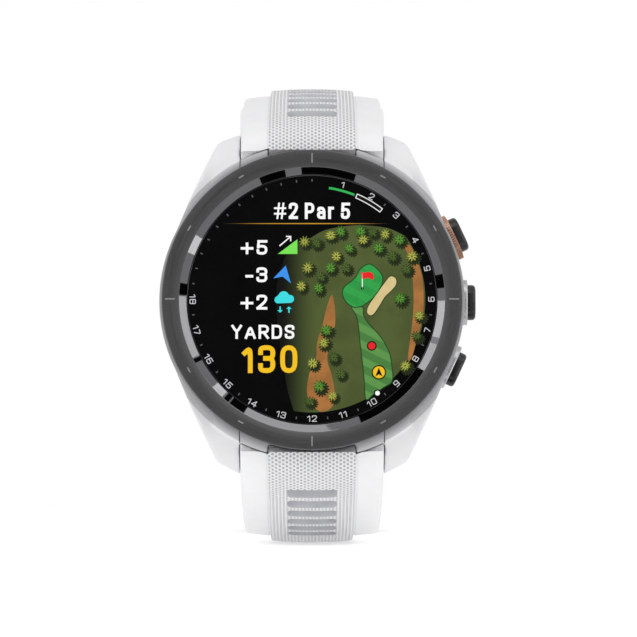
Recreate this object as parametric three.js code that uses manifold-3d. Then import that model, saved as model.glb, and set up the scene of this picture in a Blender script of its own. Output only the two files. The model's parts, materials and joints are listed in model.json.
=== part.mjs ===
// Golf GPS watch, millimetres. +X is 3 o'clock, +Z is 12 o'clock and the dial faces -Y.
// The origin is the centre of the sensor window's flat face, which rests on the wrist. Depths
// count from the bezel's face towards the wrist, and the window's face is at WATCH_DEPTH.

import * as THREE from 'three';
import { mergeVertices } from 'three/addons/utils/BufferGeometryUtils.js';
import Module from 'manifold-3d';

const wasm = await Module();
wasm.setup();

// ---- driving dimensions ----
const BACK_DEPTH = 12.2;
const WINDOW_RISE = 0.8;
const WATCH_DEPTH = BACK_DEPTH + WINDOW_RISE;
const ROUND_STEPS = 48;
const GAP = 0.3;

const BEZEL_R = 20.5;
const BEZEL_INNER_R = 17.35;
const BEZEL_FACE_R = 18.1;
const BEZEL_END = 1.8;
const CASE_TOP = BEZEL_END + GAP;
const CASE_R = 21.0;
const SHOULDER_R = 21.8;
const SHOULDER_DEPTH = 3.0;
const SHOULDER_HALF = 13.5;
const LIP_END = 4.4;
const CASE_END = 11.9;

const LUG_GAP = 20.0;
const LUG_TIP = 23.7;
const LUG_TOP = 3.4;
const LUG_END = 11.3;
const BAR_Z = 20.9;
const BAR_DEPTH = 8.3;
const BAR_R = 0.75;
const POCKET_R = 3.3;
const STRAP_EYE_R = POCKET_R - 0.4;

const TRAY_R = 19.7;
const TRAY_END = 3.5;
const CAVITY_R = 17.5;
const CAVITY_HALF_Z = 16.4;
const LEDGE_DEPTH = 8.6;
const LEDGE_R = 14.1;
const BACK_REBATE = 10.6;
const BACK_R = 17.6;
const BACK_THICK = 1.3;
const WINDOW_R = 6.1;
const SCREW_RING_R = 16.3;

const BUTTON_ANGLES = { upper: 25, middle: 0, lower: -25 };
const BUTTON_DEPTH = 6.6;
const BUTTON_LENGTH = 4.9;
const BUTTON_WIDTH = 2.8;
const BUTTON_FACE_R = 23.0;
const BUTTON_BASE_R = 20.8;
const BUTTON_SOCKET_R = 20.1;
const COLLAR_FACE_R = 21.8;
const STEM_R = 0.6;
const STEM_END_R = 17.0;

const STRAP_WIDTH = 19.5;
const PANEL_WIDTH = 11.9;
const PANEL_RISE = 0.7;
const STRAP_THICK = 3.0;
const STRAP_START = { z: 20.8, depth: 2.3, slope: 10 };
const OVER_LUGS = [{ radius: 7.5, turn: 50 }, { radius: 57, turn: 30 }];
const UPPER = { length: 74, arcs: [...OVER_LUGS, { radius: 50, turn: 90 }] };
const LOWER = { length: 113, arcs: [...OVER_LUGS, { radius: 170, turn: 60 }] };
const SLOT_FIRST = 7.6;
const SLOT_PITCH = 3.2;
const SLOT_LENGTH = 6.9;
const SLOT_WIDTH = 2.2;
const SLOT_CORNER = 0.65;
const SLOT_SINK = 1.2;
const SLOT_COUNT = 6;
const HOLE_FIRST = 56;
const HOLE_PITCH = 6.4;
const HOLE_COUNT = 8;
const HOLE_LENGTH = 5.0;

const BUCKLE_EYE_R = 2.2;
const BUCKLE_BAR_R = 0.8;
const BUCKLE_INNER_WIDTH = 20.4;
const BUCKLE_ROD = 1.8;
const BUCKLE_REACH = 11;
const KEEPER_WALL = 1.1;
const KEEPER_WIDTH = 5;

const depthToY = (depth) => depth - WATCH_DEPTH;
const radians = THREE.MathUtils.degToRad;

// ---- closed solids ----

// Merges a geometry's corners, drops its empty triangles and turns its faces outwards.
function closed(geometry) {
  const bare = new THREE.BufferGeometry();
  bare.setAttribute('position', geometry.getAttribute('position'));
  bare.setIndex(geometry.getIndex());
  const merged = mergeVertices(bare, 1e-4);
  const corners = merged.getIndex().array;
  const place = merged.getAttribute('position');
  const [a, b, c] = [new THREE.Vector3(), new THREE.Vector3(), new THREE.Vector3()];
  const kept = [];
  let volume = 0;
  for (let i = 0; i < corners.length; i += 3) {
    const [p, q, r] = [corners[i], corners[i + 1], corners[i + 2]];
    if (p === q || q === r || r === p) continue;
    kept.push(p, q, r);
    a.fromBufferAttribute(place, p);
    b.fromBufferAttribute(place, q);
    c.fromBufferAttribute(place, r);
    volume += a.dot(b.cross(c));
  }
  if (volume < 0) kept.reverse();
  merged.setIndex(kept);
  return merged;
}

function toSolid(geometry) {
  const shell = closed(geometry);
  const vertProperties = new Float32Array(shell.getAttribute('position').array);
  const triVerts = new Uint32Array(shell.getIndex().array);
  return new wasm.Manifold(new wasm.Mesh({ numProp: 3, vertProperties, triVerts }));
}

function toGeometry(solid) {
  const mesh = solid.getMesh();
  const geometry = new THREE.BufferGeometry();
  geometry.setAttribute('position', new THREE.BufferAttribute(mesh.vertProperties, 3));
  geometry.setIndex(new THREE.BufferAttribute(mesh.triVerts, 1));
  return geometry;
}

const join = (first, ...others) => {
  return toGeometry(others.reduce((sum, other) => sum.add(toSolid(other)), toSolid(first)));
};

const cut = (base, ...tools) => {
  return toGeometry(tools.reduce((rest, tool) => rest.subtract(toSolid(tool)), toSolid(base)));
};

const common = (first, second) => toGeometry(toSolid(first).intersect(toSolid(second)));

// ---- basic forms ----

// A solid of revolution about the watch's axis, from a profile of [radius, depth] corners.
function turned(profile, steps = ROUND_STEPS) {
  const points = profile.map(([radius, depth]) => new THREE.Vector2(radius, depthToY(depth)));
  const onAxis = profile[0][0] === 0;
  if (!onAxis) points.push(points[0].clone());
  return closed(new THREE.LatheGeometry(points, steps));
}

const disc = (radius, from, to, steps = ROUND_STEPS) => {
  return turned([[0, from], [radius, from], [radius, to], [0, to]], steps);
};

const ring = (inner, outer, from, to, steps = ROUND_STEPS) => {
  return turned([[inner, from], [outer, from], [outer, to], [inner, to]], steps);
};

function outline(points) {
  return new THREE.Shape(points.map(([u, v]) => new THREE.Vector2(u, v)));
}

// Extrudes a shape drawn in (z, depth) along X.
function prismX(shape, from, to, curveSegments = 5) {
  const body = new THREE.ExtrudeGeometry(shape, { depth: to - from, bevelEnabled: false, curveSegments });
  const turn = new THREE.Matrix4().set(0, 0, 1, from, 0, 1, 0, -WATCH_DEPTH, 1, 0, 0, 0, 0, 0, 0, 1);
  return closed(body.applyMatrix4(turn));
}

// Extrudes a shape drawn in (x, z) along Y, between two depths.
function prismY(shape, from, to, curveSegments = 5) {
  const body = new THREE.ExtrudeGeometry(shape, { depth: to - from, bevelEnabled: false, curveSegments });
  const turn = new THREE.Matrix4().set(1, 0, 0, 0, 0, 0, 1, depthToY(from), 0, 1, 0, 0, 0, 0, 0, 1);
  return closed(body.applyMatrix4(turn));
}

function block([x0, x1], [z0, z1], [from, to]) {
  return prismY(outline([[x0, z0], [x1, z0], [x1, z1], [x0, z1]]), from, to);
}

function rodX(z, depth, radius, from, to, steps = 14) {
  const rod = new THREE.CylinderGeometry(radius, radius, to - from, steps);
  rod.rotateZ(Math.PI / 2);
  rod.translate((from + to) / 2, depthToY(depth), z);
  return closed(rod);
}

function rodY(x, z, radius, from, to, steps = 14) {
  const rod = new THREE.CylinderGeometry(radius, radius, to - from, steps);
  rod.translate(x, depthToY((from + to) / 2), z);
  return closed(rod);
}

// A coil spring along X: a round wire swept along a helix.
function coilX({ z, depth, radius, wire, turns, from, to }) {
  const stepsPerTurn = 8;
  const steps = turns * stepsPerTurn;
  const points = Array.from({ length: steps + 1 }, (_, i) => {
    const angle = (i / stepsPerTurn) * 2 * Math.PI;
    const along = THREE.MathUtils.lerp(from, to, i / steps);
    const [rise, shift] = [radius * Math.cos(angle), radius * Math.sin(angle)];
    return new THREE.Vector3(along, depthToY(depth) + rise, z + shift);
  });
  const section = new THREE.Shape().absarc(0, 0, wire, 0, 2 * Math.PI, false);
  const extrudePath = new THREE.CatmullRomCurve3(points);
  return closed(new THREE.ExtrudeGeometry(section, { steps, extrudePath, curveSegments: 2 }));
}

// A bar outline with round ends, centred on (0, middle).
function stadium(length, width, middle = 0) {
  const half = (length - width) / 2;
  const shape = new THREE.Shape();
  shape.absarc(half, middle, width / 2, -Math.PI / 2, Math.PI / 2, false);
  shape.absarc(-half, middle, width / 2, Math.PI / 2, 1.5 * Math.PI, false);
  return shape;
}

const mirrored = (geometry, x, z) => closed(geometry.clone().scale(x, 1, z));

const swung = (geometry, degrees) => closed(geometry.clone().rotateY(-radians(degrees)));

const watch = new THREE.Group();

function addPiece(group, name, geometry, color, roughness, metalness = 0) {
  const material = new THREE.MeshStandardMaterial({ color, roughness, metalness });
  const piece = new THREE.Mesh(closed(geometry), material);
  piece.name = name;
  group.add(piece);
}

// ---- case body: barrel, strap shoulders and four lugs, hollowed for the works ----

function lug() {
  const plan = outline([[LUG_GAP / 2, 6], [20, 6], [19.45, 7.8], [16.65, 14.6], [13.4, 21.4]]);
  plan.quadraticCurveTo(13.05, 22.15, 12.4, 22.45);
  plan.lineTo(LUG_GAP / 2, LUG_TIP);
  const side = outline([[6, LUG_TOP], [16.5, LUG_TOP]]);
  side.bezierCurveTo(20, LUG_TOP, LUG_TIP, 5.2, LUG_TIP, 9.2);
  side.quadraticCurveTo(LUG_TIP, LUG_END, 21.2, LUG_END);
  side.lineTo(6, LUG_END);
  return common(prismY(plan, 1, 13), prismX(side, 9, 21));
}

// The room that a strap's end turns in, between two lugs.
function strapPocket() {
  const half = LUG_GAP / 2;
  const shape = outline([[26, LIP_END], [BAR_Z, LIP_END]]);
  shape.absarc(BAR_Z, BAR_DEPTH, POCKET_R, -Math.PI / 2, Math.PI / 2, true);
  shape.lineTo(BAR_Z, 14);
  shape.lineTo(26, 14);
  return prismX(shape, -half, half, 14);
}

// Cuts the shoulder back to the bezel's radius where a strap's raised panel meets it.
function panelRelief() {
  const half = PANEL_WIDTH / 2 + GAP;
  const room = block([-half, half], [12, 26], [CASE_TOP - 1, LIP_END + 0.5]);
  return cut(room, disc(BEZEL_R + 0.05, 0, 8));
}

// A button's own opening: a socket for the collar, a bore for spring and seal, a stem hole.
function buttonOpening(angle) {
  const socket = prismX(stadium(6.9, 4.8, BUTTON_DEPTH), BUTTON_SOCKET_R, 24);
  const bore = rodX(0, BUTTON_DEPTH, 1.35, 18.3, 21);
  const hole = rodX(0, BUTTON_DEPTH, STEM_R + GAP, 15, 19);
  return swung(join(socket, bore, hole), angle);
}

function screwPlaces() {
  return [45, 135, 225, 315].map((angle) => {
    const turn = radians(angle);
    return [SCREW_RING_R * Math.cos(turn), SCREW_RING_R * Math.sin(turn)];
  });
}

function caseBody() {
  const foot = [[19.9, 11.2], [18.9, CASE_END], [0, CASE_END]];
  const barrel = turned([[0, CASE_TOP], [BEZEL_R, CASE_TOP], [CASE_R, 3.0], [CASE_R, 9.2], ...foot]);
  const flare = [[BEZEL_R, CASE_TOP], [SHOULDER_R, SHOULDER_DEPTH], [SHOULDER_R, 9.2]];
  const band = block([-SHOULDER_HALF, SHOULDER_HALF], [-24, 24], [0, 14]);
  const shoulder = common(turned([[0, CASE_TOP], ...flare, ...foot]), band);
  const lugs = [[1, 1], [-1, 1], [1, -1], [-1, -1]].map(([x, z]) => mirrored(lug(), x, z));
  const shell = join(barrel, shoulder, ...lugs);

  const wallToWall = block([-20, 20], [-CAVITY_HALF_Z, CAVITY_HALF_Z], [4, 9]);
  const works = common(disc(CAVITY_R, LIP_END, LEDGE_DEPTH), wallToWall);
  const hollow = [
    disc(TRAY_R, 1, TRAY_END),
    disc(CAVITY_R, 3, LIP_END + 0.2),
    disc(LEDGE_R, 8, 13),
    disc(BACK_R + GAP, BACK_REBATE, 13),
    ring(14.3, 15.2, 10.0, BACK_REBATE + 0.2),
  ];
  const pockets = [strapPocket(), mirrored(strapPocket(), 1, -1)];
  const reliefs = [panelRelief(), mirrored(panelRelief(), 1, -1)];
  const buttons = Object.values(BUTTON_ANGLES).map(buttonOpening);
  const screws = screwPlaces().map(([x, z]) => rodY(x, z, 0.8, 8, 11));
  const pins = [1, -1].map((side) => rodX(side * BAR_Z, BAR_DEPTH, 0.7, -11.4, 11.4));
  return cut(shell, works, ...hollow, ...pockets, ...reliefs, ...buttons, ...screws, ...pins);
}

// ---- face: bezel, glass, display and what carries them ----

function bezel() {
  return turned([
    [BEZEL_INNER_R, 0.65],
    [BEZEL_FACE_R, 0],
    [BEZEL_R - 0.15, 0],
    [BEZEL_R, 0.15],
    [BEZEL_R, BEZEL_END],
    [BEZEL_INNER_R, BEZEL_END],
  ]);
}

function displayBracket() {
  const [inner, outer] = [12, 17];
  const span = (inner + outer) / 2;
  const across = block([-span, span], [-1.6, 1.6], [3.3, 3.9]);
  const upright = block([-1.6, 1.6], [-span, span], [3.3, 3.9]);
  return join(ring(inner, outer, 3.3, 3.9), across, upright);
}

function gpsAntenna() {
  const feedGap = block([-24, -12], [-1.2, 1.2], [1, 5]);
  return cut(ring(18.0, 19.3, 2.4, 3.2), feedGap);
}

function mainBoard() {
  const board = disc(15.5, 4.9, 5.5, 48);
  const chips = [[-6, 5, 7], [4, 6, 5], [0, -8, 6]].map(([x, z, side]) => {
    return block([x - side / 2, x + side / 2], [z - side / 2, z + side / 2], [4.3, 5.2]);
  });
  return join(board, ...chips);
}

// ---- back: plate, window, port, seal and screws ----

const PORT = { z: -11, length: 7.4, width: 3.0 };

// The charging port's rectangle grown by a margin, between two depths.
function portBlock(margin, from, to) {
  const [half, tall] = [PORT.length / 2 + margin, PORT.width / 2 + margin];
  return block([-half, half], [PORT.z - tall, PORT.z + tall], [from, to]);
}

function caseBack() {
  const from = BACK_DEPTH - BACK_THICK;
  const rim = [[BACK_R, from], [BACK_R, BACK_DEPTH - 0.5], [BACK_R - 0.5, BACK_DEPTH]];
  const plate = turned([[0, from], ...rim, [0, BACK_DEPTH]]);
  const screwHoles = screwPlaces().flatMap(([x, z]) => {
    return [rodY(x, z, 0.75, 10, 13), rodY(x, z, 1.2, 11.5, 13)];
  });
  return cut(plate, disc(WINDOW_R + GAP, 10, 13), portBlock(GAP, 10, 13), ...screwHoles);
}

function sensorWindow() {
  return turned([
    [0, 10.2],
    [7.4, 10.2],
    [7.4, BACK_REBATE],
    [WINDOW_R, BACK_REBATE],
    [WINDOW_R, BACK_DEPTH + 0.1],
    [5.0, WATCH_DEPTH - 0.15],
    [4.2, WATCH_DEPTH],
    [0, WATCH_DEPTH],
  ], 32);
}

function backScrew([x, z]) {
  return join(rodY(x, z, 0.5, 9.0, 11.9, 12), rodY(x, z, 0.95, 11.75, 12.1, 16));
}

addPiece(watch, 'case_body', caseBody(), 0xe9eaec, 0.42);
addPiece(watch, 'bezel', bezel(), 0x55575a, 0.38, 0.9);
addPiece(watch, 'cover_glass', disc(BEZEL_INNER_R - GAP, 0.6, 1.6), 0x050506, 0.05);
addPiece(watch, 'display_panel', disc(16.8, 1.9, 3.0), 0x0a0a0c, 0.4);
addPiece(watch, 'display_bracket', displayBracket(), 0x8f9295, 0.5, 0.8);
addPiece(watch, 'gps_antenna', gpsAntenna(), 0xb87333, 0.4, 0.9);
addPiece(watch, 'main_board', mainBoard(), 0x15442a, 0.6);
addPiece(watch, 'battery', block([-10, 10], [-3.5, 9.5], [5.9, 8.9]), 0xb9bcc0, 0.45, 0.3);
addPiece(watch, 'vibration_motor', rodY(0, -8.2, 3.4, 5.9, 8.6, 24), 0xc4c6c8, 0.3, 0.9);
addPiece(watch, 'sensor_board', disc(9, 9.2, 9.9, 32), 0x163d6b, 0.6);
addPiece(watch, 'back_seal', ring(14.5, 15.0, 10.25, 10.65, 32), 0x1d1e20, 0.8);
addPiece(watch, 'case_back', caseBack(), 0xb9bbbd, 0.35, 0.6);
addPiece(watch, 'sensor_window', sensorWindow(), 0x101114, 0.08);
addPiece(watch, 'charge_port', portBlock(0, 10.5, 12.0), 0x1a1b1d, 0.5);
screwPlaces().forEach((place, i) => {
  addPiece(watch, `back_screw_${i + 1}`, backScrew(place), 0x9a9da0, 0.3, 1);
});

// ---- buttons: each is built at 3 o'clock and its group turns it to its place ----

function buttonCap() {
  const cap = prismX(stadium(BUTTON_LENGTH, BUTTON_WIDTH, BUTTON_DEPTH), BUTTON_BASE_R, BUTTON_FACE_R);
  return join(cap, rodX(0, BUTTON_DEPTH, STEM_R, STEM_END_R, BUTTON_BASE_R + 0.5, 16));
}

function buttonCollar() {
  const hole = prismX(stadium(BUTTON_LENGTH + 0.5, BUTTON_WIDTH + 0.5, BUTTON_DEPTH), 19, 24);
  return cut(prismX(stadium(6.3, 4.2, BUTTON_DEPTH), BUTTON_SOCKET_R + GAP, COLLAR_FACE_R), hole);
}

// A ring about a button's stem, between two distances from the watch's axis.
function stemRing(inner, outer, from, to) {
  return cut(rodX(0, BUTTON_DEPTH, outer, from, to), rodX(0, BUTTON_DEPTH, inner, from - 1, to + 1));
}

function buttonSpring() {
  return coilX({ z: 0, depth: BUTTON_DEPTH, radius: 0.96, wire: 0.1, turns: 3, from: 19.1, to: 20.05 });
}

function buttonClip() {
  const opening = block([16, 18], [-0.45, 0.45], [BUTTON_DEPTH, 9]);
  return cut(stemRing(STEM_R + 0.2, 1.4, 17.05, 17.3), opening);
}

for (const [place, angle] of Object.entries(BUTTON_ANGLES)) {
  const group = new THREE.Group();
  group.rotation.y = -radians(angle);
  const copper = place === 'upper';
  addPiece(group, `${place}_button`, buttonCap(), 0x141517, 0.18, 0.3);
  addPiece(group, `${place}_button_collar`, buttonCollar(), copper ? 0xb97f5f : 0x9c9ea0, 0.35, 0.9);
  addPiece(group, `${place}_button_seal`, stemRing(STEM_R + 0.15, 1.15, 18.4, 18.85), 0x222326, 0.8);
  addPiece(group, `${place}_button_spring`, buttonSpring(), 0xaeb1b4, 0.3, 1);
  addPiece(group, `${place}_button_clip`, buttonClip(), 0xaeb1b4, 0.3, 1);
  const switchBox = prismX(stadium(3.2, 1.4, BUTTON_DEPTH), 15.0, 16.2);
  addPiece(group, `${place}_button_switch`, switchBox, 0x2a2b2e, 0.5);
  watch.add(group);
}

// ---- straps: both are built above the case, and the lower one is mirrored below it ----

// The place on a strap's raised outer surface at a length along it, and its slope.
function strapPlace(strap, length) {
  let { z, depth, slope } = STRAP_START;
  let left = length;
  for (const { radius, turn } of strap.arcs) {
    const run = Math.min(left, radius * radians(turn));
    const next = slope + THREE.MathUtils.radToDeg(run / radius);
    z += radius * (Math.sin(radians(next)) - Math.sin(radians(slope)));
    depth += radius * (Math.cos(radians(slope)) - Math.cos(radians(next)));
    slope = next;
    left -= run;
  }
  return { z, depth, slope };
}

// A corner of the strap's side outline, sunk below the panel's surface by an inset.
function strapCorner(strap, length, inset) {
  const { z, depth, slope } = strapPlace(strap, length);
  return [z - inset * Math.sin(radians(slope)), depth + inset * Math.cos(radians(slope))];
}

// Corners along one face of the strap, close together where it rolls over the lugs.
function strapFace(strap, from, to, inset) {
  const corners = [];
  for (let length = from; length < to; length += length < 7 ? 1.1 : 4) {
    corners.push(strapCorner(strap, length, inset));
  }
  corners.push(strapCorner(strap, to, inset));
  return corners;
}

function wingOutline(strap) {
  const eyeTop = BAR_DEPTH - STRAP_EYE_R;
  const lipFloor = LIP_END - GAP;
  const throat = [[BAR_Z, eyeTop], [BAR_Z + GAP, eyeTop], [BAR_Z + GAP, lipFloor]];
  const shape = outline([...throat, [19.5, lipFloor], [19.5, 2.7]]);
  strapFace(strap, 0, strap.length, PANEL_RISE).forEach(([z, depth]) => shape.lineTo(z, depth));
  strapFace(strap, 15, strap.length, STRAP_THICK).reverse().forEach(([z, depth]) => shape.lineTo(z, depth));
  shape.quadraticCurveTo(25.6, BAR_DEPTH + STRAP_EYE_R, BAR_Z, BAR_DEPTH + STRAP_EYE_R);
  shape.absarc(BAR_Z, BAR_DEPTH, STRAP_EYE_R, Math.PI / 2, 1.5 * Math.PI, false);
  return shape;
}

function panelOutline(strap) {
  const shape = outline([[22.5, 5], [20.2, LIP_END - GAP], [20.2, 2.2]]);
  strapFace(strap, 0, strap.length, 0).forEach(([z, depth]) => shape.lineTo(z, depth));
  strapFace(strap, 8, strap.length, 2).reverse().forEach(([z, depth]) => shape.lineTo(z, depth));
  return shape;
}

// The room that the bezel, the shoulder and its lip take out of a strap's front edge.
function shoulderRoom() {
  const clear = GAP + 0.05;
  return turned([
    [0, 0],
    [BEZEL_R + clear, 0],
    [BEZEL_R + clear, CASE_TOP],
    [SHOULDER_R + clear, SHOULDER_DEPTH],
    [SHOULDER_R + clear, LIP_END - GAP + 0.01],
    [0, LIP_END - GAP + 0.01],
  ]);
}

// Stands a geometry drawn in (x, along, outward) on the strap at a length along it.
function onStrap(strap, geometry, length, inset) {
  const [z, depth] = strapCorner(strap, length, inset);
  const { slope } = strapPlace(strap, length);
  return closed(geometry.clone().rotateX(radians(90 - slope)).translate(0, depthToY(depth), z));
}

// A slot across the strap, cut from outside down to a level below the panel's surface.
function slotCutter(strap, at, slotLength, sink) {
  const [half, tall, corner] = [slotLength / 2, SLOT_WIDTH / 2, SLOT_CORNER];
  const shape = new THREE.Shape();
  shape.absarc(half - corner, tall - corner, corner, 0, 0.5 * Math.PI, false);
  shape.absarc(corner - half, tall - corner, corner, 0.5 * Math.PI, Math.PI, false);
  shape.absarc(corner - half, corner - tall, corner, Math.PI, 1.5 * Math.PI, false);
  shape.absarc(half - corner, corner - tall, corner, 1.5 * Math.PI, 2 * Math.PI, false);
  const bar = new THREE.ExtrudeGeometry(shape, { depth: sink + 3, bevelEnabled: false, curveSegments: 3 });
  return onStrap(strap, bar.translate(0, 0, -sink), at, 0);
}

// The strap's blank: wings, raised panel, bar hole and the slot for the release lever.
function strapBlank(strap) {
  const half = STRAP_WIDTH / 2;
  const wings = cut(prismX(wingOutline(strap), -half, half), shoulderRoom());
  const panel = prismX(panelOutline(strap), -PANEL_WIDTH / 2, PANEL_WIDTH / 2);
  const seated = cut(panel, disc(BEZEL_R + GAP + 0.05, 0, LIP_END + 0.2));
  const leverSlot = block([4.2, 7.4], [BAR_Z - 0.85, BAR_Z + 0.85], [BAR_DEPTH, 14]);
  return cut(join(wings, seated), rodX(BAR_Z, BAR_DEPTH, BAR_R + 0.25, -11, 11), leverSlot);
}

const decorSlots = Array.from({ length: SLOT_COUNT }, (_, i) => {
  return slotCutter(UPPER, SLOT_FIRST + i * SLOT_PITCH, SLOT_LENGTH, SLOT_SINK);
});

function upperStrap() {
  const [z, depth] = strapCorner(UPPER, UPPER.length, STRAP_THICK / 2);
  const eye = rodX(z, depth, BUCKLE_EYE_R, -STRAP_WIDTH / 2, STRAP_WIDTH / 2, 16);
  const notch = new THREE.BoxGeometry(3.2, 8, 8).translate(0, 4 - BUCKLE_EYE_R - 0.5, 0);
  const barHole = rodX(z, depth, BUCKLE_BAR_R + 0.25, -12, 12);
  const tongueRoom = onStrap(UPPER, notch, UPPER.length, STRAP_THICK / 2);
  return cut(join(strapBlank(UPPER), eye), barHole, tongueRoom, ...decorSlots);
}

function lowerStrap() {
  const holes = Array.from({ length: HOLE_COUNT }, (_, i) => {
    return slotCutter(LOWER, HOLE_FIRST + i * HOLE_PITCH, HOLE_LENGTH, STRAP_THICK + 1);
  });
  return mirrored(cut(strapBlank(LOWER), ...decorSlots, ...holes), 1, -1);
}

// ---- spring bars: a tube through each strap end, a fixed pin and a pin that thumbs inwards ----

const LEVER_X = 6.4;
const PIN_R = 0.35;
const PIN_REACH = 11.2;

function barTube() {
  const bore = rodX(BAR_Z, BAR_DEPTH, PIN_R + 0.15, -11, 11);
  const leverSlot = block([4.6, 7.0], [BAR_Z - 0.6, BAR_Z + 0.6], [BAR_DEPTH, 10]);
  return cut(rodX(BAR_Z, BAR_DEPTH, BAR_R, -9.5, 9.5), bore, leverSlot);
}

function releasePin() {
  const lever = rodY(LEVER_X, BAR_Z, 0.4, BAR_DEPTH, BAR_DEPTH + STRAP_EYE_R + 0.5, 12);
  return join(rodX(BAR_Z, BAR_DEPTH, PIN_R, 4.9, PIN_REACH, 12), lever);
}

function pinSpring() {
  return coilX({ z: BAR_Z, depth: BAR_DEPTH, radius: 0.27, wire: 0.08, turns: 5, from: -5.3, to: 3.2 });
}

for (const [place, side] of [['upper', 1], ['lower', -1]]) {
  const addBarPiece = (name, shape, color, roughness) => {
    addPiece(watch, `${place}_${name}`, mirrored(shape, 1, side), color, roughness, 0.9);
  };
  addBarPiece('bar_tube', barTube(), 0xb4b7ba, 0.3);
  addBarPiece('bar_fixed_pin', rodX(BAR_Z, BAR_DEPTH, PIN_R, -PIN_REACH, -5.7, 12), 0xc0c2c4, 0.25);
  addBarPiece('bar_release_pin', releasePin(), 0xc0c2c4, 0.25);
  addBarPiece('bar_spring', pinSpring(), 0xaeb1b4, 0.3);
}
addPiece(watch, 'upper_strap', upperStrap(), 0xeef0f2, 0.55);
addPiece(watch, 'lower_strap', lowerStrap(), 0xeef0f2, 0.55);

// ---- buckle: its group stands on the upper strap's end, drawn in (x, along, outward) ----

function placeOnStrap(group, length) {
  const [z, depth] = strapCorner(UPPER, length, STRAP_THICK / 2);
  group.position.set(0, depthToY(depth), z);
  group.rotation.x = radians(90 - strapPlace(UPPER, length).slope);
}

function rodAlongX(radius, from, to, steps = 16) {
  const rod = new THREE.CylinderGeometry(radius, radius, to - from, steps).rotateZ(Math.PI / 2);
  return closed(rod.translate((from + to) / 2, 0, 0));
}

function buckleFrame() {
  const [inner, outer] = [BUCKLE_INNER_WIDTH / 2, BUCKLE_INNER_WIDTH / 2 + BUCKLE_ROD];
  const plan = outline([[-outer, -1.5], [-inner, -1.5], [-inner, BUCKLE_REACH], [inner, BUCKLE_REACH]]);
  const front = BUCKLE_REACH + BUCKLE_ROD;
  plan.lineTo(inner, -1.5);
  plan.lineTo(outer, -1.5);
  plan.lineTo(outer, front - 2);
  plan.quadraticCurveTo(outer, front, outer - 2, front);
  plan.lineTo(-outer + 2, front);
  plan.quadraticCurveTo(-outer, front, -outer, front - 2);
  const options = { depth: BUCKLE_ROD, bevelEnabled: false, curveSegments: 4 };
  const frame = new THREE.ExtrudeGeometry(plan, options);
  const ears = [rodAlongX(1.5, -outer, -inner), rodAlongX(1.5, inner, outer)];
  const body = join(frame.translate(0, 0, -BUCKLE_ROD / 2), ...ears);
  return cut(body, rodAlongX(BUCKLE_BAR_R + 0.25, -13, 13));
}

function buckleTongue() {
  const tip = BUCKLE_REACH + BUCKLE_ROD + 0.3;
  const side = outline([[-1.2, 0.6], [0.4, 1.3], [3, 2.1], [tip, 2.0], [tip, 1.2], [4.2, 1.2], [1.3, -0.4]]);
  const arm = new THREE.ExtrudeGeometry(side, { depth: 2.2, bevelEnabled: false });
  const turn = new THREE.Matrix4().set(0, 0, 1, -1.1, 1, 0, 0, 0, 0, 1, 0, 0, 0, 0, 0, 1);
  return cut(join(arm.applyMatrix4(turn), rodAlongX(1.6, -1.1, 1.1)), rodAlongX(BUCKLE_BAR_R + 0.25, -3, 3));
}

function keeper() {
  const inner = STRAP_WIDTH / 2 + 0.35;
  const [low, high] = [-1.85, STRAP_THICK / 2 + 3.3];
  const outer = [inner + KEEPER_WALL, low - KEEPER_WALL, high + KEEPER_WALL];
  const across = new THREE.BoxGeometry(2 * outer[0], KEEPER_WIDTH, outer[2] - outer[1]);
  const hole = new THREE.BoxGeometry(2 * inner, KEEPER_WIDTH + 2, high - low);
  const middle = (high + low) / 2;
  return cut(across.translate(0, 0, middle), hole.translate(0, 0, middle));
}

const buckle = new THREE.Group();
placeOnStrap(buckle, UPPER.length);
addPiece(buckle, 'buckle_frame', buckleFrame(), 0xb7b9bb, 0.3, 0.9);
addPiece(buckle, 'buckle_bar', rodAlongX(BUCKLE_BAR_R, -11.9, 11.9, 12), 0xb7b9bb, 0.3, 0.9);
addPiece(buckle, 'buckle_tongue', buckleTongue(), 0xb7b9bb, 0.3, 0.9);
watch.add(buckle);

for (const [name, setBack] of [['fixed_keeper', 7.5], ['free_keeper', 18]]) {
  const group = new THREE.Group();
  placeOnStrap(group, UPPER.length - setBack);
  addPiece(group, name, keeper(), 0xe4e6e8, 0.55);
  watch.add(group);
}

export default watch;
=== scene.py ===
"""Looks of a golf GPS watch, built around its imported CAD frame."""

import json
import logging
import math
from dataclasses import dataclass
from enum import Enum
from typing import Callable, Iterable, Sequence

import bmesh
import bpy
from mathutils import Matrix, Vector


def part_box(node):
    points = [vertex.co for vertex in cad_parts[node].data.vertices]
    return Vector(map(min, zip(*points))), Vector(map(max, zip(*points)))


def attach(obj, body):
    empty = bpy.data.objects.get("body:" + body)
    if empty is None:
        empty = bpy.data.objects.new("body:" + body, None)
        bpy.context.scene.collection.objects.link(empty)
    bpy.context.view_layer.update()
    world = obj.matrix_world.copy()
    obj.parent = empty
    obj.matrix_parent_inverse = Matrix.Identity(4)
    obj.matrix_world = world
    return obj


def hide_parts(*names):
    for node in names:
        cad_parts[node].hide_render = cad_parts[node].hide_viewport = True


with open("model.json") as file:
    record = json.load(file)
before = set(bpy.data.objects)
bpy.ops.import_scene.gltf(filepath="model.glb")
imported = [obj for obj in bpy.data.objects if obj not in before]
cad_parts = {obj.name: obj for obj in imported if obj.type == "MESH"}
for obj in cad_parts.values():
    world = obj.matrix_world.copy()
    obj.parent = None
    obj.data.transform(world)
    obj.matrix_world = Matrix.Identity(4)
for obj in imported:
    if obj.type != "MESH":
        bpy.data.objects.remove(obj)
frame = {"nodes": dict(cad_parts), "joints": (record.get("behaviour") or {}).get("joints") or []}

log = logging.getLogger("watch")
MM = 0.001
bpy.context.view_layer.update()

Point = tuple[float, float]
Colour = tuple[float, float, float]
Ribbon = tuple[list[Point], list[Point] | None]


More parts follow.
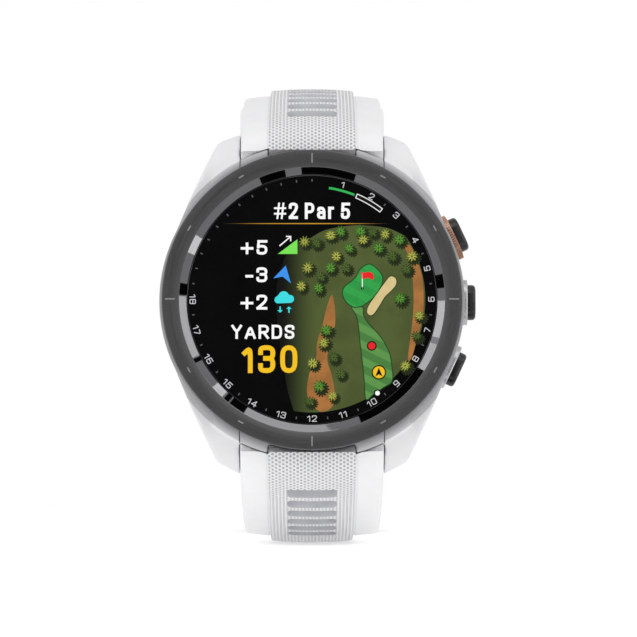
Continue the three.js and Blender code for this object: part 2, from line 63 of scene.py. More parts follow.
def joint(name: str) -> dict:
    """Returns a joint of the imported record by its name."""
    return next(j for j in frame["joints"] if j["name"] == name)


DIAL_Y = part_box("bezel")[0].y
BEZEL_R = (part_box("bezel")[1].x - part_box("bezel")[0].x) / 2 / MM
BAR_Z = joint("upper_strap_swing")["pos_m"][2] / MM
BAR_DEPTH = (joint("upper_strap_swing")["pos_m"][1] - DIAL_Y) / MM
FLOOR_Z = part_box("lower_strap")[0].z - 0.00004


def at(x: float, z: float, depth: float) -> Vector:
    """Returns a place in metres from dial millimetres and a depth behind the bezel's face."""
    return Vector((x * MM, DIAL_Y + depth * MM, z * MM))


# ---------------------------------------------------------------- shader kit


class Nodes:
    """A thin helper that adds and links nodes in one tree."""

    def __init__(self, tree: bpy.types.NodeTree) -> None:
        """Args: tree: the node tree that nodes are added to."""
        self.tree = tree

    def add(self, kind: str, **settings: object) -> bpy.types.Node:
        """Adds a node and sets its properties."""
        node = self.tree.nodes.new(kind)
        for key, value in settings.items():
            setattr(node, key, value)
        return node

    def link(self, source: object, target: bpy.types.NodeSocket) -> None:
        """Links an output to an input, or sets the input's value."""
        if isinstance(source, bpy.types.NodeSocket):
            self.tree.links.new(source, target)
        else:
            target.default_value = source

    def math(self, operation: str, *values: object) -> bpy.types.NodeSocket:
        """Adds a Math node and returns its output."""
        node = self.add("ShaderNodeMath", operation=operation)
        for value, socket in zip(values, node.inputs):
            self.link(value, socket)
        return node.outputs[0]

    def ramp(self, value: object, low: float, high: float, start: float = 0.0,
             end: float = 1.0) -> bpy.types.NodeSocket:
        """Maps a value smoothly from [low, high] to [start, end]."""
        node = self.add("ShaderNodeMapRange", interpolation_type="SMOOTHSTEP")
        for key, given in zip(("Value", "From Min", "From Max", "To Min", "To Max"),
                              (value, low, high, start, end)):
            self.link(given, node.inputs[key])
        return node.outputs["Result"]

    def mix(self, factor: object, first: object, second: object) -> bpy.types.NodeSocket:
        """Mixes two colours."""
        node = self.add("ShaderNodeMix", data_type="RGBA")
        self.link(factor, node.inputs["Factor"])
        for given, socket in ((first, node.inputs[6]), (second, node.inputs[7])):
            self.link((*given, 1.0) if isinstance(given, tuple) and len(given) == 3 else given, socket)
        return node.outputs[2]


def new_group(name: str, inputs: dict[str, float | str],
              outputs: Iterable[str]) -> tuple[Nodes, object, object]:
    """Starts a shader node group.

    Args:
        name: the group's name.
        inputs: each input's name with its default number, or "vector".
        outputs: the names of the number outputs.

    Returns:
        The helper on the group's tree, its input node and its output node.
    """
    tree = bpy.data.node_groups.new(name, "ShaderNodeTree")
    for key, default in inputs.items():
        kind = "NodeSocketVector" if default == "vector" else "NodeSocketFloat"
        socket = tree.interface.new_socket(key, in_out="INPUT", socket_type=kind)
        if default != "vector":
            socket.default_value = default
    for key in outputs:
        tree.interface.new_socket(key, in_out="OUTPUT", socket_type="NodeSocketFloat")
    kit = Nodes(tree)
    return kit, kit.add("NodeGroupInput"), kit.add("NodeGroupOutput")


def grain_group() -> bpy.types.NodeTree:
    """Builds the moulded grain that most finishes share: fine height, shade and roughness spots."""
    kit, source, sink = new_group("moulded_grain", {"Vector": "vector", "Scale": 4000.0}, ("Height", "Shade"))
    fine = kit.add("ShaderNodeTexNoise")
    kit.link(source.outputs["Vector"], fine.inputs["Vector"])
    kit.link(source.outputs["Scale"], fine.inputs["Scale"])
    fine.inputs["Detail"].default_value = 3.0
    broad = kit.add("ShaderNodeTexNoise")
    kit.link(source.outputs["Vector"], broad.inputs["Vector"])
    kit.link(kit.math("MULTIPLY", source.outputs["Scale"], 0.06), broad.inputs["Scale"])
    kit.link(fine.outputs["Fac"], sink.inputs["Height"])
    kit.link(kit.ramp(broad.outputs["Fac"], 0.3, 0.7), sink.inputs["Shade"])
    return kit.tree


def brushed_group() -> bpy.types.NodeTree:
    """Builds circular brushing about the dial's axis."""
    kit, source, sink = new_group("circular_brush", {"Vector": "vector", "Lines": 9000.0},
                                  ("Height", "Shade"))
    split = kit.add("ShaderNodeSeparateXYZ")
    kit.link(source.outputs["Vector"], split.inputs[0])
    x, z = split.outputs["X"], split.outputs["Z"]
    radius = kit.math("SQRT", kit.math("ADD", kit.math("MULTIPLY", x, x), kit.math("MULTIPLY", z, z)))
    angle = kit.math("MULTIPLY", kit.math("ARCTAN2", x, z), 2.0)
    place = kit.add("ShaderNodeCombineXYZ")
    kit.link(kit.math("MULTIPLY", radius, source.outputs["Lines"]), place.inputs["X"])
    kit.link(angle, place.inputs["Y"])
    noise = kit.add("ShaderNodeTexNoise")
    kit.link(place.outputs[0], noise.inputs["Vector"])
    noise.inputs["Scale"].default_value = 1.0
    noise.inputs["Detail"].default_value = 2.0
    kit.link(noise.outputs["Fac"], sink.inputs["Height"])
    kit.link(kit.ramp(noise.outputs["Fac"], 0.25, 0.75), sink.inputs["Shade"])
    return kit.tree


def strap_group() -> bpy.types.NodeTree:
    """Builds the strap panel's relief on a UV map in millimetres: staggered dimples that turn into
    lengthwise ribs between Rib Start and Rib End. Its Shade output paints shade into the dimples and grooves."""
    inputs = {"Vector": "vector", "Column": 0.6, "Row": 0.7, "Rib Start": 6.0, "Rib End": 26.0}
    kit, source, sink = new_group("strap_relief_and_painted_shade", inputs, ("Height", "Shade"))
    split = kit.add("ShaderNodeSeparateXYZ")
    kit.link(source.outputs["Vector"], split.inputs[0])
    across = kit.math("DIVIDE", split.outputs["X"], source.outputs["Column"])
    column = kit.math("ROUND", across)
    stagger = kit.math("MULTIPLY", kit.math("FLOORED_MODULO", column, 2.0), 0.5)
    along = kit.math("ADD", kit.math("DIVIDE", split.outputs["Y"], source.outputs["Row"]), stagger)
    du = kit.math("MULTIPLY", kit.math("SUBTRACT", across, column), source.outputs["Column"])
    dv = kit.math("MULTIPLY", kit.math("SUBTRACT", along, kit.math("ROUND", along)), source.outputs["Row"])
    reach = kit.math("SQRT", kit.math("ADD", kit.math("MULTIPLY", du, du), kit.math("MULTIPLY", dv, dv)))
    dimple = kit.ramp(reach, 0.2, 0.06)
    groove = kit.ramp(kit.math("COSINE", kit.math("MULTIPLY", across, 2 * math.pi)), -0.2, 0.9)
    begins = kit.ramp(kit.math("SUBTRACT", split.outputs["Y"], source.outputs["Rib Start"]), -1.2, 1.2)
    ends = kit.ramp(kit.math("SUBTRACT", split.outputs["Y"], source.outputs["Rib End"]), 0.7, -0.7)
    ribbed = kit.math("MULTIPLY", begins, ends)
    pit_and_painted_shade = kit.math("ADD", kit.math("MULTIPLY", dimple, kit.math("SUBTRACT", 1.0, ribbed)),
                   kit.math("MULTIPLY", groove, kit.math("MULTIPLY", ribbed, 0.55)))
    kit.link(kit.math("SUBTRACT", 1.0, pit_and_painted_shade), sink.inputs["Height"])
    kit.link(pit_and_painted_shade, sink.inputs["Shade"])
    return kit.tree


def turf_group() -> bpy.types.NodeTree:
    """Builds the lit map's turf: mottled growth, mown stripes, and a fade towards one side."""
    inputs = {"Vector": "vector", "Scale": 1500.0, "Mottle": 0.6, "Stripe": 0.0, "Pitch": 0.0011,
              "Slant": 0.5,
              "Fade Start": -1.0, "Fade End": -1.1}
    kit, source, sink = new_group("map_turf", inputs, ("Height", "Shade"))
    split = kit.add("ShaderNodeSeparateXYZ")
    kit.link(source.outputs["Vector"], split.inputs[0])
    noise = kit.add("ShaderNodeTexNoise")
    kit.link(source.outputs["Vector"], noise.inputs["Vector"])
    kit.link(source.outputs["Scale"], noise.inputs["Scale"])
    noise.inputs["Detail"].default_value = 4.0
    growth = kit.math("MULTIPLY", kit.ramp(noise.outputs["Fac"], 0.36, 0.64), source.outputs["Mottle"])
    lean = kit.math("ADD", split.outputs["Z"],
                    kit.math("MULTIPLY", split.outputs["X"], source.outputs["Slant"]))
    turns = kit.math("DIVIDE", lean, source.outputs["Pitch"])
    band = kit.ramp(kit.math("SINE", kit.math("MULTIPLY", turns, math.pi)), -0.25, 0.25)
    mown = kit.math("MULTIPLY", band, source.outputs["Stripe"])
    fade = kit.ramp(split.outputs["X"], source.outputs["Fade Start"], source.outputs["Fade End"])
    mixed = kit.math("MAXIMUM", kit.math("ADD", growth, mown), fade)
    kit.link(noise.outputs["Fac"], sink.inputs["Height"])
    kit.link(kit.math("MINIMUM", mixed, 1.0), sink.inputs["Shade"])
    return kit.tree


# Painted shade round the bezel: how grey the ring is at its outer and inner edge, where it ends, and how deep
# it reaches.
RIM_SHADE_GREY = (0.42, 0.9)
RIM_SHADE_EDGE = (0.02170, 0.02178)
RIM_SHADE_DEPTH = (0.0034, 0.0042)
RIM_GRAIN = 5000.0


def rim_group() -> bpy.types.NodeTree:
    """Builds the painted shade that the case shows round its bezel: a grey ring on its front, darkest next to
    the bezel.
    """
    kit, source, sink = new_group("case_rim_painted_shade", {"Vector": "vector", "Inner": 0.0205, "Outer": 0.0219},
                                  ("Height", "Shade"))
    split = kit.add("ShaderNodeSeparateXYZ")
    kit.link(source.outputs["Vector"], split.inputs[0])
    x, z = split.outputs["X"], split.outputs["Z"]
    radius = kit.math("SQRT", kit.math("ADD", kit.math("MULTIPLY", x, x), kit.math("MULTIPLY", z, z)))
    # Painted shade: grey that deepens towards the bezel, ends at the ring's outer edge and stops behind the
    # case's front.
    slope = kit.ramp(radius, source.outputs["Outer"], source.outputs["Inner"], *RIM_SHADE_GREY)
    edge = kit.ramp(radius, RIM_SHADE_EDGE[1], RIM_SHADE_EDGE[0])
    ring = kit.math("MULTIPLY", slope, edge)
    front = kit.ramp(split.outputs["Y"], DIAL_Y + RIM_SHADE_DEPTH[1], DIAL_Y + RIM_SHADE_DEPTH[0])
    noise = kit.add("ShaderNodeTexNoise")
    kit.link(source.outputs["Vector"], noise.inputs["Vector"])
    noise.inputs["Scale"].default_value = RIM_GRAIN
    kit.link(noise.outputs["Fac"], sink.inputs["Height"])
    kit.link(kit.math("MULTIPLY", ring, front), sink.inputs["Shade"])
    return kit.tree


class Relief(Enum):
    """Which shared pattern a finish carries."""

    RIM = "case_rim_painted_shade"
    GRAIN = "moulded_grain"
    BRUSH = "circular_brush"
    STRAP = "strap_relief_and_painted_shade"
    TURF = "map_turf"


GROUPS = {Relief.GRAIN: grain_group(), Relief.BRUSH: brushed_group(), Relief.STRAP: strap_group(),
          Relief.TURF: turf_group(), Relief.RIM: rim_group()}


@dataclass(frozen=True)
class Finish:
    """One surface finish, made into a node material on first use.

    Args:
        name: the material's name.
        colour: linear base colour.
        shade: linear colour of the pattern's hollows or spots; on the case's rim and in the strap panel's
            hollows it is painted shade.
        roughness: base roughness.
        rough_swing: how much the pattern adds to the roughness.
        metallic: 1 for bare metal.
        relief: the shared pattern.
        settings: the pattern's own input values.
        bump: bump distance in metres.
        coat: clear coat weight.
        glow: emission strength of lit display inks.
        sheen: sheen weight of soft rubber.
        scatter: subsurface weight of milky polymers.
    """

    name: str
    colour: Colour
    shade: Colour
    roughness: float
    rough_swing: float = 0.08
    metallic: float = 0.0
    relief: Relief = Relief.GRAIN
    settings: tuple[tuple[str, float], ...] = (("Scale", 4000.0),)
    bump: float = 0.000004
    coat: float = 0.0
    glow: float = 0.0
    sheen: float = 0.0
    scatter: float = 0.0

    def material(self) -> bpy.types.Material:
        """Returns the finish's material, built once."""
        found = bpy.data.materials.get(self.name)
        if found:
            return found
        made = bpy.data.materials.new(self.name)
        made.use_nodes = True
        made.diffuse_color = (*self.colour, 1.0)
        kit = Nodes(made.node_tree)
        shader = made.node_tree.nodes["Principled BSDF"]
        place = kit.add("ShaderNodeTexCoord")
        pattern = kit.add("ShaderNodeGroup")
        pattern.node_tree = GROUPS[self.relief]
        source = place.outputs["UV"] if self.relief is Relief.STRAP else place.outputs["Object"]
        kit.link(source, pattern.inputs["Vector"])
        for key, value in self.settings:
            pattern.inputs[key].default_value = value
        tone = kit.mix(pattern.outputs["Shade"], self.colour, self.shade)
        kit.link(kit.mix(0.96 if self.glow else 0.0, tone, (0.0, 0.0, 0.0)), shader.inputs["Base Color"])
        rough = kit.ramp(pattern.outputs["Shade"], 0.0, 1.0, self.roughness,
                         self.roughness + self.rough_swing)
        kit.link(rough, shader.inputs["Roughness"])
        shader.inputs["Metallic"].default_value = self.metallic
        shader.inputs["Coat Weight"].default_value = self.coat
        shader.inputs["Coat Roughness"].default_value = 0.06
        shader.inputs["Sheen Weight"].default_value = self.sheen
        shader.inputs["Subsurface Weight"].default_value = self.scatter
        shader.inputs["Subsurface Scale"].default_value = 0.0008
        if self.glow:
            kit.link(tone, shader.inputs["Emission Color"])
            shader.inputs["Emission Strength"].default_value = self.glow
        if self.bump:
            bump = kit.add("ShaderNodeBump")
            bump.inputs["Distance"].default_value = self.bump
            kit.link(pattern.outputs["Height"], bump.inputs["Height"])
            kit.link(bump.outputs["Normal"], shader.inputs["Normal"])
        return made


def srgb(red: int, green: int, blue: int) -> Colour:
    """Turns 0-255 screen values into linear colour."""

    def linear(value: int) -> float:
        """Undoes the screen's curve for one channel."""
        share = value / 255
        return share / 12.92 if share <= 0.04045 else ((share + 0.055) / 1.055) ** 2.4

    return linear(red), linear(green), linear(blue)


RIBS = (("Column", 0.49), ("Row", 0.58), ("Rib Start", 9.4), ("Rib End", 25.2))
FINE = (("Scale", 7000.0),)
# Dark grey of the painted shadow strips that carry the lug gaps on to the bezel.
SEAM_SHADOW_GREY = Finish("lug_seam_shadow", srgb(74, 74, 76), srgb(60, 60, 62), 0.7, 0.1)
# The case's darker second colour is painted shade, laid only in the ring round the bezel.
CASE_WHITE = Finish("case_white_polymer", srgb(230, 230, 231), srgb(120, 120, 122), 0.36, 0.0,
                    relief=Relief.RIM,
                    settings=(), scatter=0.04)
STRAP_WHITE = Finish("strap_white_silicone", srgb(240, 240, 241), srgb(238, 238, 239), 0.5, 0.06, sheen=0.05,
                     scatter=0.06, settings=FINE)
# The panel's darker second colour is painted shade in its dimples and rib grooves.
STRAP_PANEL = Finish("strap_panel_silicone", srgb(237, 237, 238), srgb(194, 195, 197), 0.5, 0.1,
                     relief=Relief.STRAP,
                     settings=RIBS, bump=0.00022, sheen=0.05)
# The slots' walls and floors take a darker grey: painted shade in the recesses.
SLOT_SHADE_GREY = Finish("slot_floor_painted_shade", srgb(216, 217, 220), srgb(206, 207, 210), 0.6, settings=FINE)
BEZEL_FACE = Finish("bezel_brushed_face", srgb(112, 112, 113), srgb(98, 98, 99), 0.34, 0.14, 0.92,
                    Relief.BRUSH,
                    (("Lines", 9000.0),), 0.000003)
BEZEL_CHAMFER = Finish("bezel_polished_chamfer", srgb(118, 118, 120), srgb(112, 112, 114), 0.02, 0.01, 1.0,
                       Relief.BRUSH, (("Lines", 3000.0),), 0.0)
BEZEL_MARK = Finish("bezel_mark_grey", srgb(142, 142, 144), srgb(130, 130, 132), 0.45, 0.1, 0.3)
GLASS_BLACK = Finish("cover_glass_black", srgb(12, 12, 13), srgb(10, 10, 11), 0.05, 0.02, coat=0.3, bump=0.0)
BUTTON_BLACK = Finish("button_black_gloss", srgb(13, 13, 14), srgb(9, 9, 10), 0.24, 0.06, coat=0.1)
COLLAR_GREY = Finish("collar_satin_grey", srgb(205, 206, 208), srgb(186, 187, 190), 0.3, 0.1, 0.75)
COLLAR_COPPER = Finish("collar_rose_gold", srgb(200, 160, 138), srgb(150, 112, 92), 0.3, 0.14, 1.0)
STEEL = Finish("polished_steel", srgb(206, 207, 210), srgb(190, 191, 195), 0.16, 0.12, 1.0)
STEEL_MATT = Finish("bead_blasted_steel", srgb(168, 170, 173), srgb(150, 152, 155), 0.38, 0.14, 1.0)
BACK_GREY = Finish("back_plate_grey", srgb(196, 197, 200), srgb(186, 187, 190), 0.42, 0.1)
SEAL_BLACK = Finish("seal_black_rubber", srgb(34, 34, 36), srgb(26, 26, 28), 0.75)
WINDOW_BLACK = Finish("sensor_window_black", srgb(16, 16, 18), srgb(12, 12, 14), 0.06, 0.03, coat=0.5,
                      bump=0.0)
BOARD_GREEN = Finish("board_green_mask", srgb(30, 92, 54), srgb(22, 74, 44), 0.4, 0.1, coat=0.3)
BOARD_BLUE = Finish("board_blue_mask", srgb(28, 66, 120), srgb(22, 54, 100), 0.4, 0.1, coat=0.3)
TURF = (("Scale", 420.0), ("Mottle", 0.45))
PLAIN = (("Mottle", 0.0),)


def ink(name: str, colour: Colour, shade: Colour | None = None,
        settings: tuple[tuple[str, float], ...] = PLAIN) -> Finish:
    """Returns a lit display ink."""
    return Finish(f"ink_{name}", colour, shade or colour, 0.3, 0.0, relief=Relief.TURF, settings=settings,
                  bump=0.0,
                  glow=1.0)


INK_WHITE = ink("white", srgb(246, 246, 246))
INK_GREY = ink("grey", srgb(196, 196, 198))
INK_DIM = ink("dim", srgb(84, 84, 86))
INK_AMBER = ink("amber", srgb(240, 190, 26))
INK_GOLD_LEFT = ink("gold_left", srgb(196, 146, 44), srgb(10, 9, 6),
                    (*PLAIN, ("Fade Start", -0.005), ("Fade End", -0.0123)))
INK_GOLD_RIGHT = ink("gold_right", srgb(196, 146, 44), srgb(10, 9, 6),
                     (*PLAIN, ("Fade Start", 0.004), ("Fade End", 0.0106)))
INK_GREEN = ink("green", srgb(118, 222, 84))
INK_ARC = ink("arc", srgb(46, 176, 84))
INK_BLUE = ink("blue", srgb(58, 142, 232))
INK_CYAN = ink("cyan", srgb(58, 216, 222))
INK_BLACK = ink("black", srgb(6, 7, 6))
INK_RED = ink("red", srgb(226, 32, 36))
INK_SHADOW = ink("shadow", srgb(34, 42, 20))
INK_GROUND = ink("ground", srgb(80, 92, 47), srgb(7, 8, 6),
                 (("Scale", 260.0), ("Mottle", 0.2), ("Fade Start", 0.0015), ("Fade End", -0.0044)))
INK_PATH = ink("path", srgb(168, 112, 58), srgb(112, 78, 40), TURF)
INK_FAIRWAY = ink("fairway", srgb(92, 146, 74), srgb(70, 124, 60), (("Stripe", 1.0), ("Mottle", 0.1)))
INK_EDGE = ink("edge", srgb(30, 66, 30))
INK_PUTTING = ink("putting", srgb(50, 160, 72), srgb(38, 140, 62), (("Stripe", 0.5), ("Mottle", 0.3)))
INK_SAND = ink("sand", srgb(214, 194, 138), srgb(190, 168, 112), TURF)
LEAVES = {"light": (ink("leaf_light", srgb(112, 122, 44)), ink("leaf_light_tip", srgb(206, 204, 96))),
          "middle": (ink("leaf_middle", srgb(58, 104, 34)), ink("leaf_middle_tip", srgb(104, 172, 58))),
          "dark": (ink("leaf_dark", srgb(44, 66, 26)), ink("leaf_dark_tip", srgb(96, 118, 50)))}

FOIL = Finish("battery_foil", srgb(188, 190, 194), srgb(170, 172, 177), 0.36, 0.2, 0.85)

# ---------------------------------------------------------------- mesh kit


def mesh_object(name: str, verts: Sequence[Vector], faces: Sequence[Sequence[int]],
                *finishes: Finish) -> bpy.types.Object:
    """Makes a mesh object at the origin.

    Args:
        name: the piece's name.
        verts: corners in metres.
        faces: corner numbers of each face.
        finishes: the finishes, one material slot each.

    Returns:
        The new object, linked to the scene.
    """
    mesh = bpy.data.meshes.new(name)
    mesh.from_pydata([tuple(v) for v in verts], [], [tuple(f) for f in faces])
    made = bpy.data.objects.new(name, mesh)
    bpy.context.scene.collection.objects.link(made)
    for finish in finishes:
        mesh.materials.append(finish.material())
    return made


def smooth(piece: bpy.types.Object, degrees: float = 32.0, recalculate: bool = True) -> bpy.types.Object:
    """Merges doubles, points faces outwards, and shades smoothly up to an angle."""
    work = bmesh.new()
    work.from_mesh(piece.data)
    bmesh.ops.remove_doubles(work, verts=work.verts, dist=1e-7)
    if recalculate:
        bmesh.ops.recalc_face_normals(work, faces=work.faces)
    work.to_mesh(piece.data)
    work.free()
    piece.data.shade_smooth()
    piece.data.set_sharp_from_angle(angle=math.radians(degrees))
    return piece


def settle(piece: bpy.types.Object) -> bpy.types.Object:
    """Applies a piece's modifiers, so that its mesh is plain."""
    graph = bpy.context.evaluated_depsgraph_get()
    plain = bpy.data.meshes.new_from_object(piece.evaluated_get(graph), depsgraph=graph)
    plain.name = piece.name
    piece.modifiers.clear()
    piece.data = plain
    return piece


def bevel(piece: bpy.types.Object, width: float, degrees: float = 35.0,
          segments: int = 3) -> bpy.types.Object:
    """Rounds the edges sharper than an angle by a width in millimetres and applies it."""
    edge = piece.modifiers.new("round_edges", "BEVEL")
    edge.width = width * MM
    edge.segments = segments
    edge.limit_method = "ANGLE"
    edge.angle_limit = math.radians(degrees)
    edge.harden_normals = False
    return settle(piece)


def carve(piece: bpy.types.Object, tool: bpy.types.Object, how: str = "DIFFERENCE",
          solver: str = "EXACT") -> bpy.types.Object:
    """Cuts a tool out of a piece, or joins it on, and removes the tool."""
    step = piece.modifiers.new("carve", "BOOLEAN")
    step.operation = how
    step.solver = solver
    step.object = tool
    if solver == "EXACT":
        step.material_mode = "TRANSFER"
    settle(piece)
    bpy.data.objects.remove(tool, do_unlink=True)
    return piece


def joined(name: str, parts: Sequence[bpy.types.Object]) -> bpy.types.Object:
    """Joins objects into the first one and names it."""
    with bpy.context.temp_override(active_object=parts[0], selected_editable_objects=list(parts)):
        bpy.ops.object.join()
    parts[0].name = name
    return parts[0]


def turned(name: str, profile: Sequence[Point], *finishes: Finish, steps: int = 192,
           zone: int = 0) -> bpy.types.Object:
    """Revolves a profile of (radius, depth) millimetres about the dial's axis.

    Args:
        name: the piece's name.
        profile: corners that start and end on the axis, or close on themselves.
        finishes: one or two finishes.
        steps: steps round the axis.
        zone: how many of the profile's first stretches take the second finish.

    Returns:
        The closed piece.
    """
    on_axis = profile[0][0] == 0
    verts: list[Vector] = []
    rings: list[list[int]] = []
    for radius, depth in profile:
        count = 1 if radius == 0 else steps
        first = len(verts)
        for i in range(count):
            angle = 2 * math.pi * i / steps
            verts.append(at(radius * math.sin(angle), radius * math.cos(angle), depth))
        rings.append([first + i % count for i in range(steps)])
    pairs = list(zip(rings, rings[1:])) + ([] if on_axis else [(rings[-1], rings[0])])
    faces, second = [], []
    for number, (near, far) in enumerate(pairs):
        for i in range(steps):
            loop = [near[i], near[(i + 1) % steps], far[(i + 1) % steps], far[i]]
            face = list(dict.fromkeys(loop))
            if len(face) > 2:
                faces.append(face)
                second.append(number < zone)
    made = mesh_object(name, verts, faces, *finishes)
    for polygon, far_zone in zip(made.data.polygons, second):
        polygon.material_index = 1 if far_zone and len(finishes) > 1 else 0
    return smooth(made)


def curve_through(points: Sequence[Point], closed: bool = True, steps: int = 6) -> list[Point]:
    """Returns a smooth Catmull-Rom line through control points."""
    count = len(points)
    line: list[Point] = []
    for i in range(count if closed else count - 1):
        around = [points[(i + k) % count] if closed else points[min(max(i + k, 0), count - 1)]
                  for k in (-1, 0, 1, 2)]
        for step in range(steps):
            t = step / steps
            weights = (-t + 2 * t * t - t ** 3, 2 - 5 * t * t + 3 * t ** 3, t + 4 * t * t - 3 * t ** 3,
                       t ** 3 - t * t)
            line.append(tuple(0.5 * sum(w * p[axis] for w, p in zip(weights, around)) for axis in (0, 1)))
    return line if closed else line + [points[-1]]


def arc(centre: Point, radius: float, start: float, end: float, steps: int = 12) -> list[Point]:
    """Returns points on an arc, angles in degrees from the first axis towards the second."""
    angles = [math.radians(start + (end - start) * i / steps) for i in range(steps + 1)]
    return [(centre[0] + radius * math.cos(a), centre[1] + radius * math.sin(a)) for a in angles]


def rounded_box(width: float, height: float, radius: float, middle: Point = (0.0, 0.0),
                steps: int = 8) -> list[Point]:
    """Returns the outline of a rectangle with round corners."""
    half, tall = width / 2 - radius, height / 2 - radius
    corners = ((half, tall, 0), (-half, tall, 90), (-half, -tall, 180), (half, -tall, 270))
    line: list[Point] = []
    for x, y, turn in corners:
        line += arc((middle[0] + x, middle[1] + y), radius, turn, turn + 90, steps)
    return line


def prism(name: str, outline: Sequence[Point], low: float, high: float,
          place: Callable[[float, float, float], Vector],
          *finishes: Finish, hole: Sequence[Point] | None = None) -> bpy.types.Object:
    """Extrudes an outline between two levels.

    Args:
        name: the piece's name.
        outline: corners in millimetres.
        low: the first level.
        high: the second level.
        place: turns (u, v, level) millimetres into a place in metres.
        finishes: the piece's finishes.
        hole: an inner outline with as many corners as the outer one.

    Returns:
        The closed solid.
    """
    count = len(outline)
    verts = [place(u, v, level) for level in (low, high) for u, v in outline]
    faces = [[i, (i + 1) % count, count + (i + 1) % count, count + i] for i in range(count)]
    if hole is None:
        faces += [list(range(count)), list(range(count, 2 * count))]
    else:
        verts += [place(u, v, level) for level in (low, high) for u, v in hole]
        for i in range(count):
            after = (i + 1) % count
            faces.append([2 * count + i, 2 * count + after, 3 * count + after, 3 * count + i])
            faces.append([i, after, 2 * count + after, 2 * count + i])
            faces.append([count + i, count + after, 3 * count + after, 3 * count + i])
    return smooth(mesh_object(name, verts, faces, *finishes))


def node_copy(name: str, node: str, finish: Finish, width: float, degrees: float = 40.0) -> bpy.types.Object:
    """Makes a piece from a CAD node's own shape, with rounded edges."""
    source = frame["nodes"][node]
    made = bpy.data.objects.new(name, source.data.copy())
    bpy.context.scene.collection.objects.link(made)
    made.data.materials.clear()
    made.data.materials.append(finish.material())
    smooth(made, 30)
    bevel(made, width, degrees, 2)
    return smooth(made, 30)


def dress(piece: bpy.types.Object, body: str, slot: str, *nodes: str) -> bpy.types.Object:
    """Settles a piece on its body and hides the CAD nodes that it stands for; the slot is not used."""
    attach(piece, body)
    if nodes:
        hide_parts(*nodes)
    log.info("%s: %d faces on %s", piece.name, len(piece.data.polygons), body)
    return piece


# ---------------------------------------------------------------- bezel and glass


